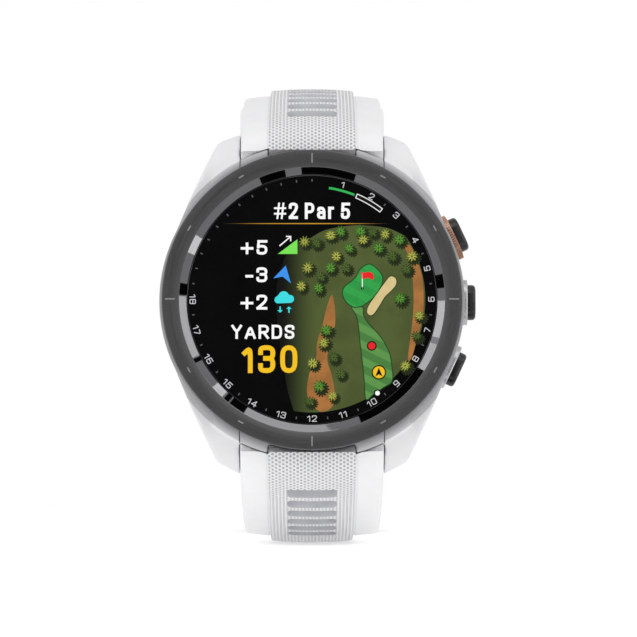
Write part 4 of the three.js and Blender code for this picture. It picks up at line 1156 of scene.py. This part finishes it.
@dataclass
class CaseBody:
    """The white polymer case: barrel, strap shoulders and four lugs, hollowed as the frame's own case is."""

    top: float = 2.1
    shoulder: float = 21.8
    radius: float = 21.0
    lug_tip: float = 23.7
    lug_inner: float = 10.0
    pocket: float = 3.3
    lip: float = 4.4
    voxel: float = 0.2

    def barrel(self) -> bpy.types.Object:
        """Builds the barrel with its two shoulders."""
        foot = [(self.radius, 9.2), (20.7, 10.2), (19.9, 11.2), (18.9, 11.9), (0.0, 11.9)]
        core = turned("case_barrel", [(0.0, self.top), (BEZEL_R, self.top), (20.95, 2.6), (self.radius, 3.1),
                                      *foot])
        flare = [(0.0, self.top), (BEZEL_R, self.top), (self.shoulder - 0.06, 2.95), (self.shoulder, 3.15),
                 (self.shoulder, 9.0), (21.3, 10.2), *foot[2:]]
        shoulder = turned("case_shoulder", flare)
        band = prism("case_band", rounded_box(27.0, 48.0, 0.4), 0, 14, at)
        carve(shoulder, band, "INTERSECT", "MANIFOLD")
        return carve(core, shoulder, "UNION", "MANIFOLD")

    def lug(self, x: int, z: int) -> bpy.types.Object:
        """Builds one lug from its plan and its side outline."""
        plan = [(self.lug_inner, 6.0), (20.0, 6.0), (19.45, 7.8), (16.65, 14.6), (13.4, 21.4)]
        plan += quad(plan[-1], (13.05, 22.15), (12.4, 22.45)) + [(self.lug_inner, self.lug_tip)]
        side = [(6.0, 3.4), (16.5, 3.4)]
        side += cubic(side[-1], (20.0, 3.4), (self.lug_tip, 5.2), (self.lug_tip, 9.2))
        side += quad(side[-1], (self.lug_tip, 11.3), (21.2, 11.3)) + [(6.0, 11.3)]
        made = prism("lug", [(x * u, z * v) for u, v in plan], 1, 13, at)
        cutter = prism("lug_side", [(z * v, depth) for v, depth in side], x * 9, x * 21, across)
        return carve(made, cutter, "INTERSECT", "MANIFOLD")

    def rooms(self) -> list[bpy.types.Object]:
        """Builds what is cut away: works, strap pockets, panel reliefs and button openings."""
        works = turned("works", [(0.0, 1.0), (19.7, 1.0), (19.7, 3.5), (17.5, 3.5), (17.5, 4.6), (0.0, 4.6)],
                       steps=96)
        chamber = turned("chamber", [(0.0, 4.4), (17.5, 4.4), (17.5, 8.6), (0.0, 8.6)], steps=96)
        carve(chamber, prism("walls", rounded_box(40, 32.8, 0.5), 3, 10, at), "INTERSECT", "MANIFOLD")
        back = turned("back_room", [(0.0, 8.0), (14.1, 8.0), (14.1, 10.6), (14.3, 10.6), (14.3, 10.0),
                                    (15.2, 10.0),
                                    (15.2, 10.6), (17.9, 10.6), (17.9, 13.0), (0.0, 13.0)], steps=96)
        made = [works, chamber, back]
        for side in (1, -1):
            pocket = [(26.0, self.lip), *arc((BAR_Z, BAR_DEPTH), self.pocket, -90, -270, 20), (BAR_Z, 14.0),
                      (26.0, 14.0)]
            made.append(prism("pocket", [(side * z, depth) for z, depth in pocket], -self.lug_inner,
                              self.lug_inner, across))
            relief = turned("relief", [(BEZEL_R + 0.05, 1.0), (30.0, 1.0), (30.0, 4.9),
                                       (BEZEL_R + 0.05, 4.9)])
            window = prism("window", rounded_box(12.1, 14.0, 0.1, (0, side * 19.0)), 0.5, 6, at)
            made.append(carve(relief, window, "INTERSECT", "MANIFOLD"))
            made.append(prism("pin_holes", arc((side * BAR_Z, BAR_DEPTH), 0.7, 0, 345, 23), -11.4, 11.4,
                              across))
        for angle in PushButton.ANGLES.values():
            spin = Matrix.Rotation(-math.radians(angle), 4, "Y")
            for outline, low, high in ((stadium(6.9, 4.8, 6.6), 20.1, 24),
                                       (arc((0, 6.6), 1.35, 0, 345, 23), 18.3, 21),
                                       (arc((0, 6.6), 0.9, 0, 345, 23), 15, 19)):
                room = prism("button_room", outline, low, high, across)
                room.data.transform(spin)
                made.append(room)
        for angle in (45, 135, 225, 315):
            spot = (16.3 * math.cos(math.radians(angle)), 16.3 * math.sin(math.radians(angle)))
            made.append(prism("screw_hole", arc(spot, 0.8, 0, 345, 23), 8, 11, at))
        return made

    def build(self) -> None:
        """Builds the case and softens every edge as moulding does."""
        shell = self.barrel()
        for x in (1, -1):
            for z in (1, -1):
                carve(shell, self.lug(x, z), "UNION", "MANIFOLD")
        for room in self.rooms():
            carve(shell, room, solver="MANIFOLD")
        shell.name = "case_shell"
        remesh = shell.modifiers.new("mould", "REMESH")
        remesh.mode = "VOXEL"
        remesh.voxel_size = self.voxel * MM
        soften = shell.modifiers.new("soften", "SMOOTH")
        soften.factor = 0.5
        soften.iterations = 5
        thin = shell.modifiers.new("thin", "DECIMATE")
        thin.ratio = 0.45
        settle(shell)
        shell.data.materials.clear()
        shell.data.materials.append(CASE_WHITE.material())
        shell.data.shade_smooth()
        dress(joined("case_shell", [shell, *self.seams()]), "case", "case_white", "case_body")

    def seams(self) -> list[bpy.types.Object]:
        """Builds four dark strips of painted shadow that carry the lug gaps' shade on from the gaps to the
        bezel.
        """
        slope = [(17.93, 2.06), (19.52, 2.98), (19.52, 3.4), (17.93, 2.6)]
        made = []
        for side in (1, -1):
            line = [(side * z, depth) for z, depth in slope]
            for x in (9.86, -9.98):
                made.append(prism("lug_seam", line, x, x + 0.12, across, SEAM_SHADOW_GREY))
        return made


@dataclass
class PushButton:
    """A pill-shaped push button on its stem, with the collar round it."""

    ANGLES = {"upper": 25.0, "middle": 0.0, "lower": -25.0}
    FACES = {"upper": (23.05, 21.8), "middle": (22.65, 21.5), "lower": (22.65, 21.5)}

    place: str
    length: float = 4.9
    width: float = 2.8
    base: float = 20.8
    depth: float = 6.6

    @property
    def face(self) -> float:
        """Returns how far out the cap's face stands."""
        return self.FACES[self.place][0]

    @property
    def collar_face(self) -> float:
        """Returns how far out the collar's face stands."""
        return self.FACES[self.place][1]

    def turn(self, piece: bpy.types.Object) -> bpy.types.Object:
        """Swings a piece built at 3 o'clock to the button's own place."""
        piece.data.transform(Matrix.Rotation(-math.radians(self.ANGLES[self.place]), 4, "Y"))
        return piece

    def cap(self) -> None:
        """Builds the glossy cap, slightly domed, and its stem."""
        low, high = self.base, self.face
        rows = [(0.0, low), (0.0, high - 0.42), (0.08, high - 0.2), (0.24, high - 0.06), (0.45, high - 0.01)]
        verts, faces, count = [], [], 0
        for inset, level in rows:
            line = stadium(self.length - 2 * inset, self.width - 2 * inset, self.depth)
            count = len(line)
            verts += [across(z, depth, level) for z, depth in line]
        for row in range(len(rows) - 1):
            for i in range(count):
                after = (i + 1) % count
                faces.append([row * count + i, row * count + after, (row + 1) * count + after,
                              (row + 1) * count + i])
        faces += [list(range(count)), list(range((len(rows) - 1) * count, len(rows) * count))]
        cap = smooth(mesh_object(f"{self.place}_button_cap", verts, faces, BUTTON_BLACK), 50)
        stem = prism("stem", arc((0, self.depth), 0.6, 0, 345, 23), 17.0, low + 0.3, across, BUTTON_BLACK)
        carve(cap, stem, "UNION")
        dress(self.turn(smooth(cap, 40)), f"{self.place}_press", "button_black", f"{self.place}_button")

    def collar(self) -> None:
        """Builds the collar; the upper one is copper with a knurled front edge."""
        outer = stadium(6.3, 4.2, self.depth)
        inner = stadium(self.length + 0.5, self.width + 0.5, self.depth)
        copper = self.place == "upper"
        finish = COLLAR_COPPER if copper else COLLAR_GREY
        ring = prism(f"{self.place}_button_ring", outer, 20.4, self.collar_face, across, finish, hole=inner)
        bevel(ring, 0.16, 60, 3)
        dress(self.turn(smooth(ring, 40)), "case", "copper" if copper else "collar_grey",
              f"{self.place}_button_collar")
        if copper:
            self.knurl(outer)

    def knurl(self, outline: Sequence[Point]) -> None:
        """Sets fine teeth round the copper collar with one node tree."""
        tree = bpy.data.node_groups.new("collar_knurl", "GeometryNodeTree")
        tree.interface.new_socket("Geometry", in_out="INPUT", socket_type="NodeSocketGeometry")
        for key, default in (("Pitch", 0.34 * MM), ("Tooth", 0.1 * MM), ("Length", 0.62 * MM)):
            tree.interface.new_socket(key, in_out="INPUT",
                                      socket_type="NodeSocketFloat").default_value = default
        tree.interface.new_socket("Geometry", in_out="OUTPUT", socket_type="NodeSocketGeometry")
        kit = Nodes(tree)
        source, sink = kit.add("NodeGroupInput"), kit.add("NodeGroupOutput")
        line = kit.add("GeometryNodeMeshToCurve")
        kit.link(source.outputs["Geometry"], line.inputs[0])
        points = kit.add("GeometryNodeCurveToPoints", mode="LENGTH")
        kit.link(line.outputs[0], points.inputs[0])
        kit.link(source.outputs["Pitch"], points.inputs["Length"])
        tooth = kit.add("GeometryNodeMeshCylinder")
        tooth.inputs["Vertices"].default_value = 8
        kit.link(source.outputs["Tooth"], tooth.inputs["Radius"])
        kit.link(source.outputs["Length"], tooth.inputs["Depth"])
        spread = kit.add("GeometryNodeInstanceOnPoints")
        kit.link(points.outputs["Points"], spread.inputs["Points"])
        kit.link(tooth.outputs["Mesh"], spread.inputs["Instance"])
        real = kit.add("GeometryNodeRealizeInstances")
        kit.link(spread.outputs[0], real.inputs[0])
        finish = kit.add("GeometryNodeSetMaterial")
        finish.inputs["Material"].default_value = COLLAR_COPPER.material()
        kit.link(real.outputs[0], finish.inputs[0])
        kit.link(finish.outputs[0], sink.inputs[0])
        made = mesh_object("upper_button_knurl", [Vector((u * MM, v * MM, 0)) for u, v in outline], [],
                           COLLAR_COPPER)
        count = len(outline)
        made.data.edges.add(count)
        for i, edge in enumerate(made.data.edges):
            edge.vertices = (i, (i + 1) % count)
        grow = made.modifiers.new("knurl", "NODES")
        grow.node_group = tree
        settle(made)
        for vertex in made.data.vertices:
            z, depth, level = vertex.co / MM
            vertex.co = across(z, depth, level + self.collar_face - 0.36)
        dress(self.turn(smooth(made)), "case", "copper")

    def build(self) -> None:
        """Builds the button and its collar."""
        self.cap()
        self.collar()


# ---------------------------------------------------------------- straps


@dataclass
class Strap:
    """One silicone strap: side wings, a raised textured panel, slots and its end.

    It is built as columns across the strap. Each column is a closed side outline whose faces sink
    towards the strap's edges, so the edges are round.
    """

    place: str
    side: int
    length: float
    arcs: tuple[tuple[float, float], ...]
    half: float = 9.85
    crown: float = 0.0076
    panel_half: float = 5.95
    wing_inset: float = 0.7
    thick: float = 3.0
    eye: float = 2.9
    edge: float = 0.5
    tail: bool = False

    def spot(self, along: float) -> tuple[float, float, float]:
        """Returns (z, depth, slope in radians) on the panel's surface at a length along the strap."""
        z, depth, slope, left = 20.8, 2.3, math.radians(10), along
        for radius, turn in self.arcs:
            run = min(left, radius * math.radians(turn))
            after = slope + run / radius
            z += radius * (math.sin(after) - math.sin(slope))
            depth += radius * (math.cos(slope) - math.cos(after))
            slope, left = after, left - run
        return z, depth, slope

    def corner(self, along: float, inset: float) -> Point:
        """Returns a side-outline corner below the panel's surface."""
        z, depth, slope = self.spot(along)
        return z - inset * math.sin(slope), depth + inset * math.cos(slope)

    def columns(self) -> list[tuple[float, float, float]]:
        """Returns (across, outer inset, edge drop) of every column."""
        right: list[tuple[float, float, float]] = []
        for u in [i * 0.74375 for i in range(8)]:
            right.append((u, 0.0, 0.0))
        step = self.panel_half
        for u, share in ((step - 0.2, 0.0), (step - 0.06, 0.06), (step, 0.2), (step + 0.03, 0.85),
                         (step + 0.1, 1.12),
                         (step + 0.26, 1.12), (step + 0.36, 1.0)):
            right.append((u, self.wing_inset * share, 0.0))
        for u in (7.0, 8.0, 8.8):
            right.append((u, self.wing_inset, 0.0))
        for turn in (0, 22.5, 45, 67.5, 90):
            angle = math.radians(turn)
            reach = self.half - self.edge + self.edge * math.sin(angle)
            right.append((reach, self.wing_inset, self.edge * (1 - math.cos(angle))))
        return [(-u, inset, drop) for u, inset, drop in reversed(right[1:])] + right

    def rows(self) -> list[float]:
        """Returns lengths along the strap, close together where it rolls over the lugs."""
        spots, along = [], 0.0
        while along < self.length - 1.2:
            spots.append(along)
            along += 0.45 if along < 8 else 1.15
        return spots + [self.length]

    def start_at(self, u: float, on_panel: bool) -> float:
        """Returns the z where a column's outer surface starts, clear of the bezel and the shoulder."""
        clear = 20.7 if on_panel else 21.92
        return math.sqrt(max(clear ** 2 - u * u, 0.0))

    def outline(self, u: float, inset: float, drop: float) -> tuple[list[Point], list[float]]:
        """Returns a column's closed outline and the length along the strap of each corner."""
        on_panel = inset < self.wing_inset * 0.5
        front = self.start_at(u, on_panel)
        rows = self.rows()
        tip_cut = 0.0
        if self.tail:
            tip_cut = max(0.0, abs(u) - 4.5) ** 2 * 0.22
        corners, lengths = [], []
        for along in rows:
            reach = along * (self.length - tip_cut) / self.length
            z, depth = self.corner(reach, inset + drop + self.crown * u * u * min(along / 5.0, 1.0))
            corners.append([max(z, front) if along < 7 else z, depth])
            lengths.append(reach)
        reach = self.length - tip_cut
        corners.append(self.corner(reach + (0.0 if drop else 0.3), (inset + self.thick) / 2))
        lengths.append(reach)
        for along in reversed([row for row in rows if row > 14.0]):
            here = along * (self.length - tip_cut) / self.length
            corners.append(self.corner(here, self.thick - drop))
            lengths.append(here)
        bottom = (BAR_Z, BAR_DEPTH + self.eye - drop)
        last = corners[-1]
        for spot in quad(last, (25.6, bottom[1]), bottom, 6):
            corners.append(spot)
            lengths.append(10.0)
        for spot in arc((BAR_Z, BAR_DEPTH), self.eye - drop, 90, 270, 16)[1:]:
            corners.append((spot[0], spot[1]))
            lengths.append(8.0)
        lip = 4.1
        throat = max(front, BAR_Z + 0.3)
        corners += [(BAR_Z + 0.3, BAR_DEPTH - self.eye + drop * 0.5), (throat, lip)]
        corners.append((front, lip if not on_panel else 4.0))
        lengths += [4.0, 2.0, 0.5]
        return [tuple(c) for c in corners], lengths

    def blank(self) -> bpy.types.Object:
        """Builds the strap's closed blank, with a UV map in millimetres."""
        columns = self.columns()
        verts, faces, uvs, panel = [], [], [], []
        count = 0
        for u, inset, drop in columns:
            corners, lengths = self.outline(u, inset, drop)
            count = len(corners)
            verts += [at(u, self.side * z, depth) for z, depth in corners]
            uvs += [(u, along) for along in lengths]
        face_rows = len(self.rows()) - 1
        for column in range(len(columns) - 1):
            inner = all(abs(columns[column + k][0]) < self.panel_half + 0.01 for k in (0, 1))
            for i in range(count):
                after = (i + 1) % count
                faces.append([column * count + i, (column + 1) * count + i, (column + 1) * count + after,
                              column * count + after])
                panel.append(inner and i < face_rows)
        last = (len(columns) - 1) * count
        faces += [list(range(count)), list(range(last, last + count))]
        panel += [False, False]
        made = mesh_object(f"{self.place}_strap_body", verts, faces, STRAP_WHITE, STRAP_PANEL, SLOT_SHADE_GREY)
        layer = made.data.uv_layers.new(name="strap_mm")
        for loop in made.data.loops:
            layer.data[loop.index].uv = uvs[loop.vertex_index]
        for polygon, inner in zip(made.data.polygons, panel):
            polygon.material_index = 1 if inner else 0
        return smooth(made, 40)

    def standing(self, along: float, inset: float) -> Matrix:
        """Returns the frame of a place on the strap: x across, y along, z outwards, in metres."""
        z, depth = self.corner(along, inset)
        slope = self.spot(along)[2]
        flip = Matrix.Diagonal((1, 1, self.side, 1))
        place = at(0, z, depth)
        forward = Vector((0, math.sin(slope), math.cos(slope)))
        outward = Vector((0, -math.cos(slope), math.sin(slope)))
        turn = Matrix(((1, 0, 0), forward, outward)).transposed().to_4x4()
        return flip @ Matrix.Translation(place) @ turn

    def cutter(self, along: float, length: float, width: float, low: float, high: float,
               finish: Finish) -> bpy.types.Object:
        """Builds a slot-shaped cutter that stands on the strap."""
        made = prism("cutter", rounded_box(length, width, 0.65), low, high,
                     lambda u, v, w: Vector((u, v, w)) * MM, finish)
        made.data.transform(self.standing(along, 0.0))
        if self.side < 0:
            made.data.flip_normals()
        return made

    def cuts(self) -> list[bpy.types.Object]:
        """Returns the cutters of the slots, the holes, the bar's bore and the lever's slot."""
        made = [self.cutter(7.6 + 3.2 * i, 6.9, 2.2, -1.2, 2.0, SLOT_SHADE_GREY) for i in range(6)]
        made.append(prism("bar_bore", arc((self.side * BAR_Z, BAR_DEPTH), 1.0, 0, 345, 23), -11, 11, across,
                          STRAP_WHITE))
        made.append(prism("lever_slot", rounded_box(3.2, 1.7, 0.3, (5.8, self.side * BAR_Z)), BAR_DEPTH, 14,
                          at, STRAP_WHITE))
        if self.tail:
            made += [self.cutter(56 + 6.4 * i, 5.0, 2.2, -5.0, 2.0, STRAP_WHITE) for i in range(8)]
        return made

    def buckle_end(self, strap: bpy.types.Object) -> None:
        """Adds the rolled eye and the tongue's notch at the end that holds the buckle."""
        z, depth = self.corner(self.length, self.thick / 2)
        eye = prism("rolled_eye", arc((z, depth), 2.2, 0, 350, 35), -self.half, self.half, across,
                    STRAP_WHITE)
        carve(strap, bevel(eye, 0.4, 60), "UNION")
        carve(strap, prism("eye_bore", arc((z, depth), 1.05, 0, 345, 23), -12, 12, across, STRAP_WHITE))
        notch = prism("notch", rounded_box(3.2, 8.0, 0.4, (0.0, 1.3)), -4, 4,
                      lambda u, v, w: Vector((u, v, w)) * MM,
                      STRAP_WHITE)
        notch.data.transform(self.standing(self.length, self.thick / 2))
        carve(strap, notch)

    def build(self) -> None:
        """Builds the strap."""
        strap = self.blank()
        for tool in self.cuts():
            carve(strap, tool)
        if not self.tail:
            self.buckle_end(strap)
        smooth(strap, 40, recalculate=False)
        dress(strap, f"{self.place}_strap", "strap_white", f"{self.place}_strap")


@dataclass
class Keeper:
    """A soft keeper loop round the strap."""

    node: str
    body: str
    along: float
    strap: Strap
    width: float = 5.0
    wall: float = 1.1

    def build(self) -> None:
        """Builds the loop with round corners and soft edges."""
        inner = self.strap.half + 0.35
        low, high = -1.85, self.strap.thick / 2 + 3.3
        tall, middle = high - low, (high + low) / 2
        hole = rounded_box(2 * inner, tall, 0.7, (0.0, middle))
        around = rounded_box(2 * (inner + self.wall), tall + 2 * self.wall, 1.4, (0.0, middle))
        place = self.strap.standing(self.along, self.strap.thick / 2)
        half = self.width / 2
        loop = prism(f"{self.node}_loop", around, -half, half,
                     lambda u, v, w: place @ (Vector((u, w, v)) * MM),
                     STRAP_WHITE, hole=hole)
        bevel(loop, 0.3, 50)
        dress(smooth(loop, 40), self.body, "strap_white", self.node)


# ---------------------------------------------------------------- back and buckle


@dataclass
class Back:
    """The wrist side: plate, sensor window, charging port and four screws."""


    def build(self) -> None:
        """Builds the wrist side's pieces from the frame's own shapes, with softened edges."""
        for node, finish, slot_name, width in (("case_back", BACK_GREY, "back_polymer", 0.12),
                                               ("charge_port", SEAL_BLACK, "port_black", 0.05)):
            dress(node_copy(f"{node}_shell", node, finish, width), "case", slot_name, node)
        dress(node_copy("sensor_window_lens", "sensor_window", WINDOW_BLACK, 0.2), "case", "window_black",
              "sensor_window")
        for number in range(1, 5):
            node = f"back_screw_{number}"
            dress(node_copy(f"{node}_head", node, STEEL_MATT, 0.04), "case", "bright_steel", node)


@dataclass
class Buckle:
    """The steel pin buckle."""

    def build(self) -> None:
        """Builds the frame, the bar and the tongue with rounded edges."""
        for node, body, name, width in (("buckle_frame", "buckle", "buckle_ring", 0.5),
                                        ("buckle_bar", "buckle", "buckle_pin", 0.12),
                                        ("buckle_tongue", "tongue", "buckle_prong", 0.3)):
            dress(node_copy(name, node, STEEL, width, 50), body, "bright_steel", node)


INNER = {"display_panel": GLASS_BLACK, "display_bracket": STEEL_MATT, "gps_antenna": COLLAR_COPPER,
         "main_board": BOARD_GREEN, "battery": FOIL, "vibration_motor": STEEL, "sensor_board": BOARD_BLUE,
         "back_seal": SEAL_BLACK}
BY_ENDING = {"_seal": SEAL_BLACK, "_spring": STEEL, "_clip": STEEL, "_switch": SEAL_BLACK,
             "_bar_tube": STEEL_MATT,
             "_bar_fixed_pin": STEEL, "_bar_release_pin": STEEL}


def dress_inner_nodes() -> None:
    """Gives every frame node that stays visible its own finish."""
    for name, node in frame["nodes"].items():
        if node.hide_render:
            continue
        ending = next((finish for end, finish in BY_ENDING.items() if name.endswith(end)), STEEL_MATT)
        finish = INNER.get(name, ending)
        if not node.material_slots:
            raise RuntimeError(f"{name} has no material slot")
        for held in node.material_slots:
            held.link = "OBJECT"
            held.material = finish.material()


# ---------------------------------------------------------------- studio


@dataclass
class Studio:
    """The pale floor, the soft lights, the black cards that the polished slope mirrors, and the camera."""

    distance: float = 0.345
    lens: float = 143.6
    aim: Point = (0.88, -2.68)
    ambient: float = 0.8
    cards_seen: tuple[tuple[float, float, float], ...] = (
        (0.25, 92.0, 0.0), (11.4, 44.0, 0.0), (9.8, 30.0, 2.2), (9.12, 19.0, 0.0), (8.56, 98.0, 1.2),
        (8.05, 7.0, 0.0),
        (7.5, 20.0, 1.8), (7.33, 9.0, 0.0), (7.14, 26.0, 0.0), (4.68, 128.0, 0.0), (3.9, 44.0, 1.3),
        (3.32, 58.0, 1.7),
        (2.76, 22.0, 0.0))
    card_drift: float = 0.17
    card_tilt: float = 62.0
    card_distance: float = 0.25
    card_height: float = 0.15
    # Painted shadow on the floor: half width, half depth and offset of its pool, and the ramp of the emission
    # across it.
    pool: tuple[float, float, float] = (0.019, 0.07, 0.06)
    pool_ramp: tuple[float, float, float, float] = (0.45, 1.15, 0.04, 0.36)

    def surface(self, name: str, colour: Colour, strength: float = 0.0,
                rough: float = 0.6) -> bpy.types.Material:
        """Makes a plain stage material."""
        made = bpy.data.materials.new(name)
        made.use_nodes = True
        shader = made.node_tree.nodes["Principled BSDF"]
        shader.inputs["Base Color"].default_value = (*colour, 1.0)
        shader.inputs["Roughness"].default_value = rough
        shader.inputs["Specular IOR Level"].default_value = 0.1
        shader.inputs["Emission Color"].default_value = (*colour, 1.0)
        shader.inputs["Emission Strength"].default_value = strength
        return made

    def panel(self, name: str, middle: Vector, normal: Vector, width: float, height: float,
              material: bpy.types.Material) -> bpy.types.Object:
        """Makes a flat stage panel that faces along its normal."""
        mesh = bpy.data.meshes.new(name)
        w, h = width / 2, height / 2
        mesh.from_pydata([(-w, -h, 0), (w, -h, 0), (w, h, 0), (-w, h, 0)], [], [(0, 1, 2, 3)])
        made = bpy.data.objects.new(name, mesh)
        bpy.context.scene.collection.objects.link(made)
        made.matrix_world = Matrix.Translation(middle) @ normal.to_track_quat("Z", "Y").to_matrix().to_4x4()
        mesh.materials.append(material)
        return made

    def cards(self) -> None:
        """Hangs the dark and bright cards that the bezel's polished slope mirrors across the dial."""
        centre = at(0, 0, 0)
        for number, (clock, width, strength) in enumerate(self.cards_seen):
            drift = self.card_drift * math.sin(math.radians(clock * 30))
            turn, tilt = math.radians((clock + drift) * 30 + 180), math.radians(self.card_tilt)
            ray = Vector((math.sin(turn) * math.sin(tilt), -math.cos(tilt), math.cos(turn) * math.sin(tilt)))
            tone = (1.0, 1.0, 1.0) if strength else (0.004, 0.004, 0.004)
            material = self.surface(f"card_{number}", tone, strength, 0.9)
            hung = centre + ray * self.card_distance
            card = self.panel("card", hung, -ray, self.card_height, width * MM, material)
            rise = Vector((ray.x, 0, ray.z)).normalized()
            out = -ray
            side = out.cross(rise).normalized()
            turned_to = Matrix((side.cross(out), side, out)).transposed().to_4x4()
            card.matrix_world = Matrix.Translation(hung) @ turned_to
            self.reflections_only(card)
        black = self.surface("card_front_black", (0.004, 0.004, 0.004), rough=0.9)
        self.reflections_only(self.panel("card_front", Vector((0, DIAL_Y - 0.5, 0.03)), Vector((0, 1, 0)),
                                         0.36, 0.4, black))

    def reflections_only(self, card: bpy.types.Object) -> None:
        """Hides a card from the camera, from soft light and from shadows."""
        card.visible_camera = False
        card.visible_diffuse = False
        card.visible_shadow = False
        card.visible_transmission = False

    def contact_shade(self, floor: bpy.types.Material) -> None:
        """Lifts the floor to white with emission, except for a soft pool of painted shadow on it behind the
        watch.
        """
        kit = Nodes(floor.node_tree)
        where = kit.add("ShaderNodeTexCoord")
        split = kit.add("ShaderNodeSeparateXYZ")
        kit.link(where.outputs["Object"], split.inputs[0])
        half_width, half_depth, middle = self.pool
        wide = kit.math("DIVIDE", split.outputs["X"], half_width)
        deep = kit.math("DIVIDE", kit.math("ADD", split.outputs["Y"], middle), half_depth)
        reach = kit.math("SQRT", kit.math("ADD", kit.math("MULTIPLY", wide, wide),
                                          kit.math("MULTIPLY", deep, deep)))
        shader = floor.node_tree.nodes["Principled BSDF"]
        # The emission drops inside the pool, which paints a soft shadow on the floor.
        kit.link(kit.ramp(reach, *self.pool_ramp), shader.inputs["Emission Strength"])

    def light(self, name: str, place: Vector, size: float, watts: float) -> None:
        """Hangs a soft square light that points at the watch."""
        lamp = bpy.data.lights.new(name, "AREA")
        lamp.energy = watts
        lamp.size = size
        made = bpy.data.objects.new(name, lamp)
        made.location = place
        made.rotation_euler = (at(0, 0, 5) - place).to_track_quat("-Z", "Y").to_euler()
        bpy.context.scene.collection.objects.link(made)

    def build(self) -> None:
        """Builds the stage and sets the camera."""
        scene = bpy.context.scene
        scene.view_settings.view_transform = "Standard"
        world = bpy.data.worlds.new("studio")
        world.use_nodes = True
        background = world.node_tree.nodes["Background"]
        background.inputs["Color"].default_value = (1.0, 1.0, 1.0, 1.0)
        kit = Nodes(world.node_tree)
        rays = kit.add("ShaderNodeLightPath")
        kit.link(kit.ramp(rays.outputs["Is Camera Ray"], 0.0, 1.0, self.ambient, 1.0),
                 background.inputs["Strength"])
        scene.world = world
        floor = self.surface("floor_white", (0.9, 0.9, 0.9))
        self.contact_shade(floor)
        self.panel("floor", Vector((0, 0.1, FLOOR_Z)), Vector((0, 0, 1)), 3.0, 3.0,
                   floor).visible_glossy = False
        self.light("key", Vector((0.12, -0.42, 0.4)), 0.4, 0.5)
        self.light("fill", Vector((-0.35, -0.35, 0.25)), 0.4, 0.2)
        self.cards()
        camera = bpy.data.objects.new("camera", bpy.data.cameras.new("camera"))
        camera.data.lens = self.lens
        camera.data.sensor_width = 36.0
        camera.data.clip_start = 0.01
        scene.collection.objects.link(camera)
        camera.location = Vector((0, DIAL_Y - self.distance, -0.027))
        target = at(self.aim[0], self.aim[1], 0)
        camera.rotation_euler = (target - camera.location).to_track_quat("-Z", "Y").to_euler()
        scene.camera = camera


OVER_LUGS = ((7.5, 50.0), (57.0, 30.0))


def main() -> None:
    """Builds the watch and its studio."""
    logging.basicConfig(level=logging.INFO, format="%(message)s")
    upper = Strap("upper", 1, 74.0, (*OVER_LUGS, (50.0, 90.0)))
    lower = Strap("lower", -1, 113.0, (*OVER_LUGS, (170.0, 60.0)), tail=True)
    buttons = [PushButton(place) for place in PushButton.ANGLES]
    keepers = [Keeper("fixed_keeper", "upper_strap", 66.5, upper),
               Keeper("free_keeper", "keeper", 56.0, upper)]
    for part in (Bezel(), Glass(), Picture(), CaseBody(), *buttons, upper, lower, *keepers, Back(), Buckle(),
                 Studio()):
        part.build()
    dress_inner_nodes()


if __name__ == "__main__":
    main()
